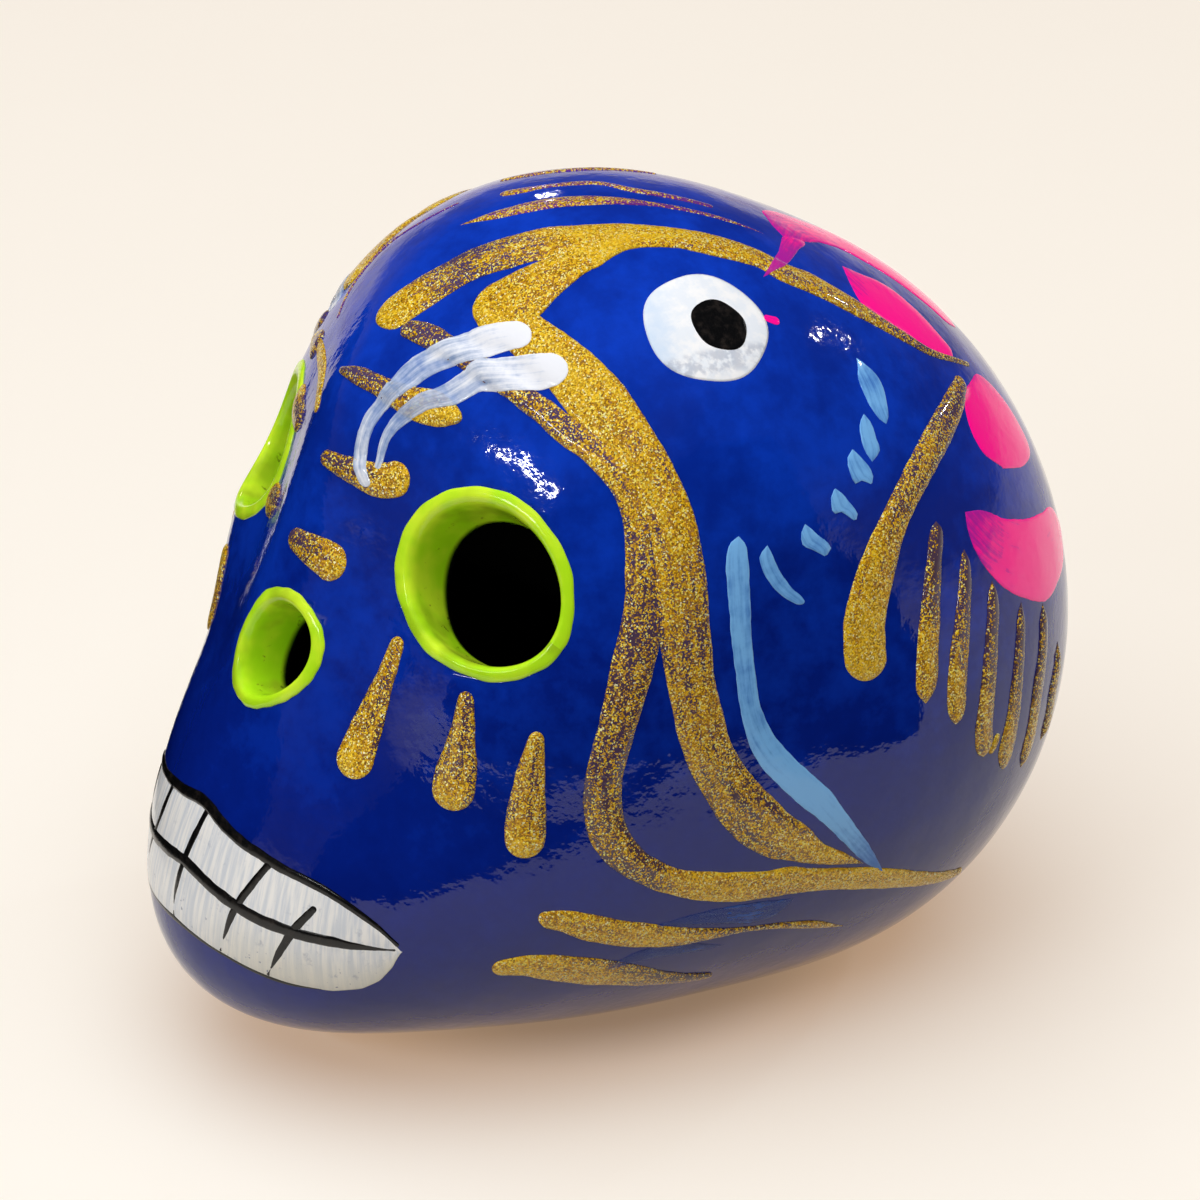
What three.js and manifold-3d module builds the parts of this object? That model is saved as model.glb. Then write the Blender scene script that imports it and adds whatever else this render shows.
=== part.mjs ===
// A sugar skull: a hollow skull of varnished clay with painted and beaded decoration, standing on the
// flat underside of its jaw. Millimetres, +Z up. The face looks along -Y and the skull's left side is
// +X. The origin is on the table, under the skull.
import * as THREE from "three";
import { mergeVertices } from "three/addons/utils/BufferGeometryUtils.js";
import Module from "manifold-3d";

const wasm = await Module();
wasm.setup();

// The form is a blend of ellipsoid lobes. Each has the place of its centre in the plane of symmetry,
// its half sizes across (X), along (Y) and up (Z), and a tilt about X in degrees.
const craniumY = 16.0;
const craniumZ = 41.2;
const craniumHalfX = 42.3;
const craniumHalfY = 37.7;
const craniumHalfZ = 43.0;
const craniumTilt = 4.6;

const foreheadY = -2.2;
const foreheadZ = 62.9;
const foreheadHalfX = 35.6;
const foreheadHalfY = 30.5;
const foreheadHalfZ = 30.0;
const foreheadTilt = 5.7;

const muzzleY = -29.2;
const muzzleZ = 24.6;
const muzzleHalfX = 24.0;
const muzzleHalfY = 27.6;
const muzzleHalfZ = 15.8;
const muzzleTilt = 24.0;

const noseY = -32.0;
const noseZ = 42.5;
const noseHalfX = 8.0;
const noseHalfY = 10.0;
const noseHalfZ = 12.8;
const noseTilt = 20.0;

const bridgeY = -29.5;
const bridgeZ = 64.0;
const bridgeHalfX = 5.0;
const bridgeHalfY = 7.0;
const bridgeHalfZ = 14.0;
const bridgeTilt = -20.0;

const cheekX = 18.3;
const cheekY = -14.3;
const cheekZ = 47.7;
const cheekHalfX = 15.0;
const cheekHalfY = 20.8;
const cheekHalfZ = 18.0;

const jawY = -7.5;
const jawZ = 27.7;
const jawHalfX = 36.0;
const jawHalfY = 42.0;
const jawHalfZ = 27.4;

// How softly the lobes run into each other.
const lobeBlend = 4.6;

// The heart is the point inside the skull from which every direction below is measured.
const heartY = 5.0;
const heartZ = 45.0;

// The clay: its wall, and the seam where the pressed face half meets the pressed back half.
const clayWall = 4.6;
const seamY = 8.0;
const seamGap = 0.3;

// Paint and bead films: the clearance under a film, and how thick each kind lies.
const filmLift = 0.4;
const enamelFilm = 0.6;
const beadFilm = 0.55;
const brushFilm = 0.4;
const pieceGap = 0.3;

// The openings, each at its widest at the clay's outer face, and the enamel's lap round them.
const eyeHalfAcross = 9.7;
const eyeHalfUp = 8.6;
const noseHalfAcross = 5.3;
const noseHalfUp = 6.6;
const enamelLap = 0.9;

// The mouth: heights of the two rows of teeth on the midline and the black lines between them.
const mouthHalfLength = 28.5;
const upperToothHeight = 5.8;
const lowerToothHeight = 5.5;
const toothLine = 1.2;

// Widths of the strokes at their widest.
const crownWidth = 6.0;
const crownBranchWidth = 7.4;
const templeSweepWidth = 5.8;
const browSweepWidth = 4.4;
const browUpperWidth = 4.2;
const browLowerWidth = 4.0;
const noseStrokeWidth = 4.0;
const tearWidth = 3.6;
const jawStrokeWidth = 3.2;
const neckWidth = 4.5;
const dripWidth = 2.2;
const outerMilkWidth = 3.0;
const innerMilkWidth = 4.0;
const skyWidth = 2.5;
const petalWidth = 7.0;
const ringRadius = 6.7;
const dotRadius = 3.2;

// The elevations between which the right side's slip grows, in degrees.
const slipFromElevation = -20;
const slipWholeElevation = 60;

// How finely the strokes are followed, how far a bead drops at its edges, how blunt its ends are, and
// the count of facets on the shells.
const strokeStep = 3.8;
const leastColumns = 4;
const aimStepShare = 0.25;
const edgeDropShare = 0.45;
const bluntEndShare = 0.45;
const endColumnShare = 0.35;
const outerDetail = 13;
const cavityDetail = 7;
const mergeShare = 1e-4;
const halvings = 32;
const slopeStepShare = 0.01;

const heart = new THREE.Vector3(0, heartY, heartZ);
const bodyReach = craniumHalfY + muzzleHalfY + Math.abs(muzzleY);

const lobes = [
  { y: craniumY, z: craniumZ, half: [craniumHalfX, craniumHalfY, craniumHalfZ], tilt: craniumTilt },
  { y: foreheadY, z: foreheadZ, half: [foreheadHalfX, foreheadHalfY, foreheadHalfZ], tilt: foreheadTilt },
  { y: muzzleY, z: muzzleZ, half: [muzzleHalfX, muzzleHalfY, muzzleHalfZ], tilt: muzzleTilt },
  { y: noseY, z: noseZ, half: [noseHalfX, noseHalfY, noseHalfZ], tilt: noseTilt },
  { y: bridgeY, z: bridgeZ, half: [bridgeHalfX, bridgeHalfY, bridgeHalfZ], tilt: bridgeTilt },
  { x: cheekX, y: cheekY, z: cheekZ, half: [cheekHalfX, cheekHalfY, cheekHalfZ], tilt: 0 },
  { y: jawY, z: jawZ, half: [jawHalfX, jawHalfY, jawHalfZ], tilt: 0 },
];

// Roughly how far a point is from one lobe, negative inside. A lobe with an x is a mirrored pair.
function lobeDistance(lobe, point) {
  const across = lobe.x === undefined ? point.x : Math.abs(point.x) - lobe.x;
  const tilt = THREE.MathUtils.degToRad(lobe.tilt);
  const back = point.y - lobe.y;
  const up = point.z - lobe.z;
  const along = Math.cos(tilt) * back + Math.sin(tilt) * up;
  const tall = Math.cos(tilt) * up - Math.sin(tilt) * back;
  const [halfX, halfY, halfZ] = lobe.half;
  const part = Math.hypot(across / halfX, along / halfY, tall / halfZ);
  const slope = Math.hypot(across / halfX ** 2, along / halfY ** 2, tall / halfZ ** 2);
  return (part * (part - 1)) / slope;
}

// The blended form: negative inside the skull and zero on its surface.
function bodyDistance(point) {
  const distances = lobes.map((lobe) => lobeDistance(lobe, point));
  const nearest = Math.min(...distances);
  let total = 0;
  for (const distance of distances) {
    total += Math.exp((nearest - distance) / lobeBlend);
  }
  return nearest - lobeBlend * Math.log(total);
}

// A direction from the heart: azimuth from the face (-Y) towards the left side (+X), and elevation.
function directionOf(azimuth, elevation) {
  const turn = THREE.MathUtils.degToRad(azimuth);
  const rise = THREE.MathUtils.degToRad(elevation);
  return new THREE.Vector3(
    Math.cos(rise) * Math.sin(turn),
    -Math.cos(rise) * Math.cos(turn),
    Math.sin(rise),
  );
}

// How far the surface is from the heart in a direction, found by halving.
function surfaceRadius(direction) {
  let inside = 0;
  let outside = bodyReach;
  const point = new THREE.Vector3();
  for (let halving = 0; halving < halvings; halving += 1) {
    const middle = (inside + outside) / 2;
    point.copy(heart).addScaledVector(direction, middle);
    if (bodyDistance(point) < 0) {
      inside = middle;
    } else {
      outside = middle;
    }
  }
  return inside;
}

function surfaceNormal(point) {
  const step = lobeBlend * slopeStepShare;
  const slope = ["x", "y", "z"].map((axis) => {
    const ahead = point.clone();
    const behind = point.clone();
    ahead[axis] += step;
    behind[axis] -= step;
    return bodyDistance(ahead) - bodyDistance(behind);
  });
  return new THREE.Vector3(...slope).normalize();
}

// The surface in a direction from the heart, with its outward normal.
function surfaceAt(direction) {
  const aim = direction.clone().normalize();
  const point = heart.clone().addScaledVector(aim, surfaceRadius(aim));
  return { point, normal: surfaceNormal(point) };
}

function pointAbove(direction, height) {
  const { point, normal } = surfaceAt(direction);
  return point.addScaledVector(normal, height);
}

// Solids for joins and cuts, from closed geometry and back to geometry.
function solidOf(geometry) {
  geometry.deleteAttribute("normal");
  geometry.deleteAttribute("uv");
  const merged = mergeVertices(geometry, mergeShare);
  const vertProperties = new Float32Array(merged.attributes.position.array);
  const triVerts = new Uint32Array(merged.index.array);
  return new wasm.Manifold(new wasm.Mesh({ numProp: 3, vertProperties, triVerts }));
}

function geometryOf(solid) {
  const mesh = solid.getMesh();
  const geometry = new THREE.BufferGeometry();
  geometry.setAttribute("position", new THREE.BufferAttribute(new Float32Array(mesh.vertProperties), 3));
  geometry.setIndex(new THREE.BufferAttribute(new Uint32Array(mesh.triVerts), 1));
  geometry.computeVertexNormals();
  return geometry;
}

function joined(solids) {
  return solids.reduce((whole, solid) => whole.add(solid));
}

// A rounded body whose vertices are placed by direction from the heart.
function bodySolid(detail, placeOf) {
  const geometry = new THREE.IcosahedronGeometry(1, detail);
  geometry.deleteAttribute("normal");
  geometry.deleteAttribute("uv");
  const body = mergeVertices(geometry, mergeShare);
  const positions = body.attributes.position;
  const direction = new THREE.Vector3();
  for (let index = 0; index < positions.count; index += 1) {
    direction.fromBufferAttribute(positions, index).normalize();
    const place = placeOf(direction);
    positions.setXYZ(index, place.x, place.y, place.z);
  }
  return solidOf(body);
}

// A block that spans the whole skull across and fills the ranges given along Y and Z.
function blockSolid(fromY, toY, fromZ, toZ) {
  const block = new THREE.BoxGeometry(2 * bodyReach, toY - fromY, toZ - fromZ);
  block.translate(0, (fromY + toY) / 2, (fromZ + toZ) / 2);
  return solidOf(block);
}

// A closed sheet between a lower and an upper surface, both given over a grid of columns and rows.
// Cells that aren't filled are left open, with walls round them.
function sheetGeometry(columns, rows, placeAt, isFilled = () => true) {
  const places = [];
  for (const upper of [0, 1]) {
    for (let column = 0; column <= columns; column += 1) {
      for (let row = 0; row <= rows; row += 1) {
        const place = placeAt(column, row, upper);
        places.push(place.x, place.y, place.z);
      }
    }
  }
  const layer = (columns + 1) * (rows + 1);
  const corner = (column, row, upper) => upper * layer + column * (rows + 1) + row;
  const filled = (column, row) =>
    column >= 0 && column < columns && row >= 0 && row < rows && isFilled(column, row);
  const faces = [];
  const quad = (a, b, c, d) => faces.push(a, b, c, a, c, d);
  const wall = (from, to) => quad(corner(...from, 0), corner(...to, 0), corner(...to, 1), corner(...from, 1));
  for (let column = 0; column < columns; column += 1) {
    for (let row = 0; row < rows; row += 1) {
      if (!filled(column, row)) {
        continue;
      }
      const ring = [[column, row], [column + 1, row], [column + 1, row + 1], [column, row + 1]];
      const neighbours = [[column, row - 1], [column + 1, row], [column, row + 1], [column - 1, row]];
      quad(...ring.map(([c, r]) => corner(c, r, 1)));
      quad(...ring.map(([c, r]) => corner(c, r, 0)).reverse());
      neighbours.forEach(([c, r], index) => {
        if (!filled(c, r)) {
          wall(ring[index], ring[(index + 1) % ring.length]);
        }
      });
    }
  }
  const geometry = new THREE.BufferGeometry();
  geometry.setAttribute("position", new THREE.Float32BufferAttribute(places, 3));
  geometry.setIndex(faces);
  return geometry;
}

// A closed hoop: the corners of its section, listed outwards and up first, at each step round it.
function hoopSolid(steps, corners, placeAt) {
  const places = [];
  const faces = [];
  for (let step = 0; step < steps; step += 1) {
    for (let corner = 0; corner < corners; corner += 1) {
      const place = placeAt((2 * Math.PI * step) / steps, corner);
      places.push(place.x, place.y, place.z);
      const next = (step + 1) % steps;
      const after = (corner + 1) % corners;
      const near = [step * corners + corner, step * corners + after];
      const far = [next * corners + corner, next * corners + after];
      faces.push(near[0], far[0], far[1], near[0], far[1], near[1]);
    }
  }
  const geometry = new THREE.BufferGeometry();
  geometry.setAttribute("position", new THREE.Float32BufferAttribute(places, 3));
  geometry.setIndex(faces);
  return solidOf(geometry);
}

// A value read from a table of shares that lie evenly along a path.
function shareAlong(shares, along) {
  const place = along * (shares.length - 1);
  const index = Math.min(Math.floor(place), shares.length - 2);
  return THREE.MathUtils.lerp(shares[index], shares[index + 1], place - index);
}

// Columns crowd towards the two ends of a stroke, where its outline turns round.
function easedAlong(along, columns) {
  const edge = 1 / columns;
  if (along <= edge) {
    return along * endColumnShare;
  }
  if (along >= 1 - edge) {
    return 1 - (1 - along) * endColumnShare;
  }
  const inner = (along - edge) / (1 - 2 * edge);
  return THREE.MathUtils.lerp(edge * endColumnShare, 1 - edge * endColumnShare, inner);
}

// The right side is painted lower than the left one: a direction there is turned away from the
// midline about Y, by the whole slip in degrees at the crown and by nothing at the jaw.
function slippedDirection(azimuth, elevation, slip) {
  const fade = THREE.MathUtils.smoothstep(elevation, slipFromElevation, slipWholeElevation);
  const turn = -THREE.MathUtils.degToRad(slip * fade);
  return directionOf(azimuth, elevation).applyAxisAngle(new THREE.Vector3(0, 1, 0), turn);
}

// A bead or brush stroke that follows directions on the surface, on the left side (1) or the right
// side (-1): flat below, crowned above, with round ends.
function strokeSolid(stroke, side, lift) {
  const right = side < 0;
  const slip = right ? stroke.rightSlip ?? 0 : 0;
  const turn = right ? stroke.rightTurn ?? 0 : 0;
  const aims = stroke.directions.map(([azimuth, elevation]) =>
    slippedDirection(side * (azimuth + turn), elevation, slip),
  );
  const path = new THREE.CatmullRomCurve3(aims, false, "centripetal");
  const [start, end] = right && stroke.rightSpanShares ? stroke.rightSpanShares : [0, 1];
  const aimAt = (along) => {
    const within = THREE.MathUtils.clamp(along, 0, 1);
    return path.getPointAt(THREE.MathUtils.lerp(start, end, within));
  };
  const reach = surfaceRadius(aimAt(1 / 2).normalize());
  const length = path.getLength() * (end - start) * reach;
  const columns = Math.max(leastColumns, Math.round(length / strokeStep));
  const placeAt = (column, row, upper) => {
    const along = easedAlong(column / columns, columns);
    const over = row / 2;
    const step = aimStepShare / columns;
    const { point, normal } = surfaceAt(aimAt(along));
    const behind = surfaceAt(aimAt(along - step)).point;
    const ahead = surfaceAt(aimAt(along + step)).point;
    const across = new THREE.Vector3().crossVectors(normal, ahead.sub(behind)).normalize();
    const halfWidth = (stroke.width * shareAlong(stroke.widthShares, along)) / 2;
    const fromEnd = Math.min(along, 1 - along) * length;
    const round = fromEnd < halfWidth ? Math.sqrt(1 - (1 - fromEnd / halfWidth) ** 2) : 1;
    const half = halfWidth * Math.max(round, bluntEndShare);
    const crown = stroke.film * (1 - Math.abs(2 * over - 1) * edgeDropShare);
    return pointAbove(point.addScaledVector(across, (2 * over - 1) * half).sub(heart), lift + upper * crown);
  };
  return solidOf(sheetGeometry(columns, 2, placeAt));
}

// The two shells. Both are cut flat where the skull stands, and the hollow keeps a floor of clay.
const outerBody = bodySolid(outerDetail, (direction) => pointAbove(direction, 0));
const hollow = bodySolid(cavityDetail, (direction) =>
  heart.clone().addScaledVector(direction, surfaceRadius(direction) - clayWall),
).intersect(blockSolid(-bodyReach, bodyReach, clayWall, 2 * bodyReach));
const standing = outerBody.intersect(blockSolid(-bodyReach, bodyReach, 0, 2 * bodyReach));

// The openings. Each has the direction of its middle, the direction in which it was cut, the turn of
// its outline, how much narrower the outline is at its top, and how far its wall flares outwards.
const eye = {
  azimuth: 31.8,
  elevation: 23.1,
  cutAzimuth: 20,
  cutElevation: 36,
  halfAcross: eyeHalfAcross,
  halfUp: eyeHalfUp,
  turn: -19.5,
  narrowShare: 0.06,
};
const nose = {
  azimuth: 2.2,
  elevation: 6.4,
  cutAzimuth: 0,
  cutElevation: 25,
  halfAcross: noseHalfAcross,
  halfUp: noseHalfUp,
  turn: -33,
  narrowShare: -0.07,
};
const openingFlare = 6;
const openingFacets = 24;
const openingReach = 3 * clayWall;
const dotFacets = 16;

// The frame of an opening: its middle on the surface, and its directions across, up and out.
function openingFrame(opening, side) {
  const out = directionOf(side * opening.cutAzimuth, opening.cutElevation);
  const across = directionOf(side * opening.cutAzimuth + 90, 0);
  const up = new THREE.Vector3().crossVectors(out, across);
  const middle = pointAbove(directionOf(side * opening.azimuth, opening.elevation), 0);
  return new THREE.Matrix4().makeBasis(across, up, out).setPosition(middle);
}

// A point on the flared wall of an opening that is grown all round, at a depth along the cut.
function openingPoint(opening, side, angle, grow, along) {
  const narrow = 1 - opening.narrowShare * Math.sin(angle);
  const widen = 1 + (along / opening.halfUp) * Math.tan(THREE.MathUtils.degToRad(openingFlare));
  const across = (opening.halfAcross + grow) * Math.cos(angle) * narrow * widen;
  const up = (opening.halfUp + grow) * Math.sin(angle) * widen;
  const turn = THREE.MathUtils.degToRad(side * opening.turn);
  const turned = new THREE.Vector2(across, up).rotateAround(new THREE.Vector2(), turn);
  return new THREE.Vector3(turned.x, turned.y, along);
}

// A prism through an opening that reaches well past both faces of the clay.
function openingPrism(opening, side) {
  const prism = new THREE.CylinderGeometry(1, 1, 1, openingFacets);
  const positions = prism.attributes.position;
  for (let index = 0; index < positions.count; index += 1) {
    const x = positions.getX(index);
    const z = positions.getZ(index);
    const along = Math.sign(positions.getY(index)) * openingReach;
    const place = openingPoint(opening, side, Math.atan2(-z, x), 0, along);
    if (Math.hypot(x, z) < 1 / 2) {
      place.set(0, 0, along);
    }
    positions.setXYZ(index, place.x, place.y, place.z);
  }
  prism.applyMatrix4(openingFrame(opening, side));
  return solidOf(prism);
}

// Where the wall of a grown opening meets the clay's outer face, or lies at a depth under it.
function rimPoint(opening, side, angle, grow, depth) {
  const frame = openingFrame(opening, side);
  let below = -openingReach;
  let above = openingReach;
  const place = new THREE.Vector3();
  for (let halving = 0; halving < halvings; halving += 1) {
    const middle = (below + above) / 2;
    place.copy(openingPoint(opening, side, angle, grow, middle)).applyMatrix4(frame).sub(heart);
    const reach = place.length();
    if (reach < surfaceRadius(place.clone().normalize()) - depth) {
      below = middle;
    } else {
      above = middle;
    }
  }
  return place.add(heart);
}

// The enamel round an opening: a lap on the clay's face that turns over the edge into a lining of the
// opening's wall, down to the hollow.
function rimSolid(opening, side) {
  const lining = -pieceGap;
  const throat = -pieceGap - enamelFilm;
  const section = [
    [enamelLap, 0, filmLift],
    [enamelLap - enamelFilm / 2, 0, filmLift + enamelFilm],
    [throat + enamelFilm / 2, 0, filmLift + enamelFilm],
    [throat, enamelFilm, 0],
    [throat, clayWall, 0],
    [lining, clayWall, 0],
    [lining, 0, filmLift],
  ];
  return hoopSolid(openingFacets, section.length, (angle, corner) => {
    const [grow, depth, height] = section[corner];
    const place = rimPoint(opening, side, angle, grow, depth);
    return place.addScaledVector(surfaceNormal(place), height);
  });
}

// A painted ring whose hole has a middle of its own.
function ringSolid(outer, outerRadius, inner, innerRadius, film) {
  const { normal } = surfaceAt(outer);
  const across = new THREE.Vector3(0, 0, 1).cross(normal).normalize();
  const up = new THREE.Vector3().crossVectors(normal, across);
  const edges = [
    [outer, outerRadius, filmLift],
    [outer, outerRadius, filmLift + film],
    [inner, innerRadius, filmLift + film],
    [inner, innerRadius, filmLift],
  ];
  return hoopSolid(openingFacets, edges.length, (angle, corner) => {
    const [middle, radius, height] = edges[corner];
    const place = pointAbove(middle, 0).sub(heart);
    place.addScaledVector(across, radius * Math.cos(angle)).addScaledVector(up, radius * Math.sin(angle));
    return pointAbove(place, height);
  });
}

// A painted dot: rings of points round its middle, between its lower and its upper face.
function dotSolid(middle, radius, film) {
  const { normal } = surfaceAt(middle);
  const disc = new THREE.CylinderGeometry(1, 1, 1, dotFacets);
  disc.applyQuaternion(new THREE.Quaternion().setFromUnitVectors(new THREE.Vector3(0, 1, 0), normal));
  const positions = disc.attributes.position;
  const place = new THREE.Vector3();
  for (let index = 0; index < positions.count; index += 1) {
    place.fromBufferAttribute(positions, index);
    const upper = place.dot(normal) > 0 ? 1 : 0;
    place.projectOnPlane(normal).multiplyScalar(radius).add(pointAbove(middle, 0)).sub(heart);
    place.copy(pointAbove(place, filmLift + upper * film));
    positions.setXYZ(index, place.x, place.y, place.z);
  }
  return solidOf(disc);
}

const allOpenings = joined([openingPrism(eye, 1), openingPrism(eye, -1), openingPrism(nose, 1)]);
const clay = standing.subtract(hollow).subtract(allOpenings);

// The mouth, worked out in degrees from its lengths: its middle line, and its upper and lower edges.
const mouthElevation = -17;
const mouthDroop = 4;
const mouthReach = surfaceRadius(directionOf(0, mouthElevation));
const toothLeanShare = 0.4;
const droopPower = 1.4;
const upperRoundPower = 5;
const lowerRoundPower = 8;
const toothColumnShares = [-1, -0.58, -0.33, 0, 0.35, 0.58, 1];

function degreesOf(length) {
  return THREE.MathUtils.radToDeg(length / mouthReach);
}

function mouthMiddle(endShare) {
  return mouthElevation - mouthDroop * endShare ** droopPower;
}

function mouthUpper(endShare) {
  return mouthMiddle(endShare) + degreesOf(upperToothHeight) * Math.sqrt(1 - endShare ** upperRoundPower);
}

function mouthLower(endShare) {
  return mouthMiddle(endShare) - degreesOf(lowerToothHeight) * Math.sqrt(1 - endShare ** lowerRoundPower);
}

const mouthHalf = degreesOf(mouthHalfLength);
const halfLine = degreesOf(toothLine / 2);

// A place on the mouth. Over runs from the lower edge (0) past the middle line (1) to the upper edge
// (2), and inset is added to it in degrees. The mouth is painted with a slight lean.
function mouthPlace(azimuth, over, inset, height) {
  const endShare = Math.min(Math.abs(azimuth), mouthHalf - halfLine) / mouthHalf;
  const edges = [mouthLower(endShare), mouthMiddle(endShare), mouthUpper(endShare)];
  const elevation = shareAlong(edges, over / 2) + inset;
  const lean = toothLeanShare * (elevation - edges[1]);
  return pointAbove(directionOf(azimuth + lean, elevation), height);
}

const filmTop = filmLift + brushFilm;
const toothSteps = 3;

// The white tiles of one row, from one edge of the mouth to the next.
function toothTiles(lowerEdge) {
  const margin = halfLine + degreesOf(pieceGap);
  return toothColumnShares.slice(1).map((toShare, column) => {
    const from = toothColumnShares[column] * mouthHalf + margin;
    const to = toShare * mouthHalf - margin;
    const placeAt = (step, row, upper) => {
      const azimuth = THREE.MathUtils.lerp(from, to, step / toothSteps);
      return mouthPlace(azimuth, lowerEdge + row / 2, (1 - row) * margin, upper ? filmTop : filmLift);
    };
    return solidOf(sheetGeometry(toothSteps, 2, placeAt));
  });
}

// The black lines as one lattice: stations on both sides of each line, and tiles left open between.
function toothLattice() {
  const stations = [];
  const onLine = [];
  toothColumnShares.forEach((share, column) => {
    const middle = share * mouthHalf;
    stations.push(middle - halfLine, middle + halfLine);
    onLine.push(true);
    if (column + 1 < toothColumnShares.length) {
      const next = toothColumnShares[column + 1] * mouthHalf - halfLine;
      for (let step = 1; step < toothSteps; step += 1) {
        stations.push(THREE.MathUtils.lerp(middle + halfLine, next, step / toothSteps));
      }
      onLine.push(...Array(toothSteps).fill(false));
    }
  });
  const rows = [[0, -1], [0, 1], [1 / 2, 0], [1, -1], [1, 1], [3 / 2, 0], [2, -1], [2, 1]];
  const placeAt = (column, row, upper) => {
    const [edge, lineSide] = rows[row];
    return mouthPlace(stations[column], edge, lineSide * halfLine, upper ? filmTop : filmLift);
  };
  const isFilled = (column, row) => onLine[column] || row % 3 === 0;
  return solidOf(sheetGeometry(stations.length - 1, rows.length - 1, placeAt, isFilled));
}

// The strokes, each as directions [azimuth, elevation] in degrees. Shares of the width lie evenly
// along the stroke. A right-hand stroke may slip or turn away from the midline, and may be painted over
// a span of the path only.
const sideSlip = 18;
const browSlip = 9;
const crownStrokes = [
  {
    directions: [
      [-5, 50], [-6, 55], [-2, 60], [7, 66], [21, 70], [43, 74], [70, 74], [92, 72], [108, 68], [127, 55],
      [140, 39],
    ],
    width: crownWidth,
    widthShares: [0.85, 1, 1, 0.95, 0.95, 0.75, 0.55, 0.4, 0.25],
    rightSlip: sideSlip,
    rightSpanShares: [0.27, 1],
  },
  {
    directions: [[36, 71], [25, 64], [17, 57]],
    width: crownBranchWidth,
    widthShares: [0.8, 1, 0.8],
    rightSlip: sideSlip,
  },
  {
    directions: [
      [18, 58], [32, 58], [44, 53], [54, 46], [61, 37], [65, 23], [68, 8], [74, -8], [80, -16], [88, -21],
    ],
    width: templeSweepWidth,
    widthShares: [0.55, 0.8, 1, 0.95, 0.85, 0.8, 0.8, 0.75, 0.6],
    rightSlip: sideSlip,
  },
];
const beadStrokes = {
  brow_sweep: {
    directions: [
      [5, 51], [12, 51], [23, 50], [35, 47], [44, 44], [54, 35], [56, 23], [52, 10], [49, -2], [52, -12],
      [61, -19], [80, -25], [91, -28], [118, -34],
    ],
    width: browSweepWidth,
    widthShares: [0.4, 0.65, 0.75, 0.95, 1, 0.95, 0.85, 0.8, 0.7, 0.45, 0.25],
    rightSlip: sideSlip,
    rightSpanShares: [0.09, 1],
  },
  brow_upper: {
    directions: [[-5, 41], [6, 43], [14, 43], [21, 44]],
    width: browUpperWidth,
    widthShares: [0.5, 0.7, 0.9, 1],
    rightSlip: browSlip,
    rightSpanShares: [0.3, 1],
  },
  brow_lower: {
    directions: [[1, 32], [7, 32], [12, 32], [16, 34]],
    width: browLowerWidth,
    widthShares: [0.4, 0.7, 0.95, 1],
    rightSpanShares: [0.2, 1],
  },
  nose_stroke: {
    directions: [[-1, 20], [5, 20], [10, 20]],
    width: noseStrokeWidth,
    widthShares: [0.4, 0.8, 1],
    rightSpanShares: [0.4, 1],
  },
  tear_inner: {
    directions: [[21, 14], [20, 8], [19, 2], [18, -4]],
    width: tearWidth,
    widthShares: [0.45, 0.65, 0.85, 1],
    rightTurn: 9,
    rightSpanShares: [0.35, 1],
  },
  tear_middle: {
    directions: [[32, 8], [33, 3], [32, -2], [31, -6]],
    width: tearWidth,
    widthShares: [0.45, 0.65, 0.85, 1],
    rightTurn: 5,
  },
  tear_outer: {
    directions: [[42, 5], [41, -1], [41, -8], [41, -12]],
    width: tearWidth,
    widthShares: [0.45, 0.65, 0.85, 1],
  },
  jaw_upper: {
    directions: [[43, -20], [48, -22], [53, -25], [60, -28], [68, -31], [80, -34], [93, -38]],
    width: jawStrokeWidth,
    widthShares: [1, 0.9, 0.75, 0.6, 0.45, 0.33],
  },
  jaw_lower: {
    directions: [[37, -26], [41, -27], [46, -29], [53, -33], [61, -38], [69, -41]],
    width: jawStrokeWidth,
    widthShares: [0.4, 0.8, 1, 0.7, 0.35],
  },
  neck_stroke: {
    directions: [[133, 38], [116, 36], [102, 29], [96, 24], [92, 17], [90, 10]],
    width: neckWidth,
    widthShares: [0.33, 0.55, 0.8, 1, 1],
    rightSlip: sideSlip,
  },
  drip_front: {
    directions: [[106, 23], [103, 16], [100, 3]],
    width: dripWidth,
    widthShares: [0.55, 0.8, 1],
    rightSlip: sideSlip,
  },
  drip_middle: {
    directions: [[114, 14], [112, 4], [110, -6]],
    width: dripWidth,
    widthShares: [0.55, 0.8, 1],
    rightSlip: sideSlip,
  },
  drip_back: {
    directions: [[122, 4], [120, -4], [119, -13]],
    width: dripWidth,
    widthShares: [0.55, 0.8, 1],
    rightSlip: sideSlip,
  },
};
const milkStrokes = {
  milk_outer: {
    directions: [[30, 54], [20, 52], [12, 48], [8, 43], [6, 38], [7, 34], [9, 31]],
    width: outerMilkWidth,
    widthShares: [1, 0.9, 0.8, 0.6, 0.5],
    rightSlip: sideSlip,
    rightSpanShares: [0, 0.4],
  },
  milk_inner: {
    directions: [[39, 51], [31, 50], [22, 47], [16, 43], [12, 39], [11, 36], [12, 33]],
    width: innerMilkWidth,
    widthShares: [1, 0.9, 0.75, 0.5, 0.38],
    rightSlip: sideSlip,
    rightSpanShares: [0, 0.4],
  },
};
const skyStroke = {
  directions: [[70, 30], [71, 23], [72, 15], [74, 6], [78, -2], [83, -9], [89, -16], [96, -24]],
  width: skyWidth,
  widthShares: [0.5, 1, 1, 0.9, 0.7, 0.5],
  rightSlip: sideSlip,
  rightTurn: 1.5,
};
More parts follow.
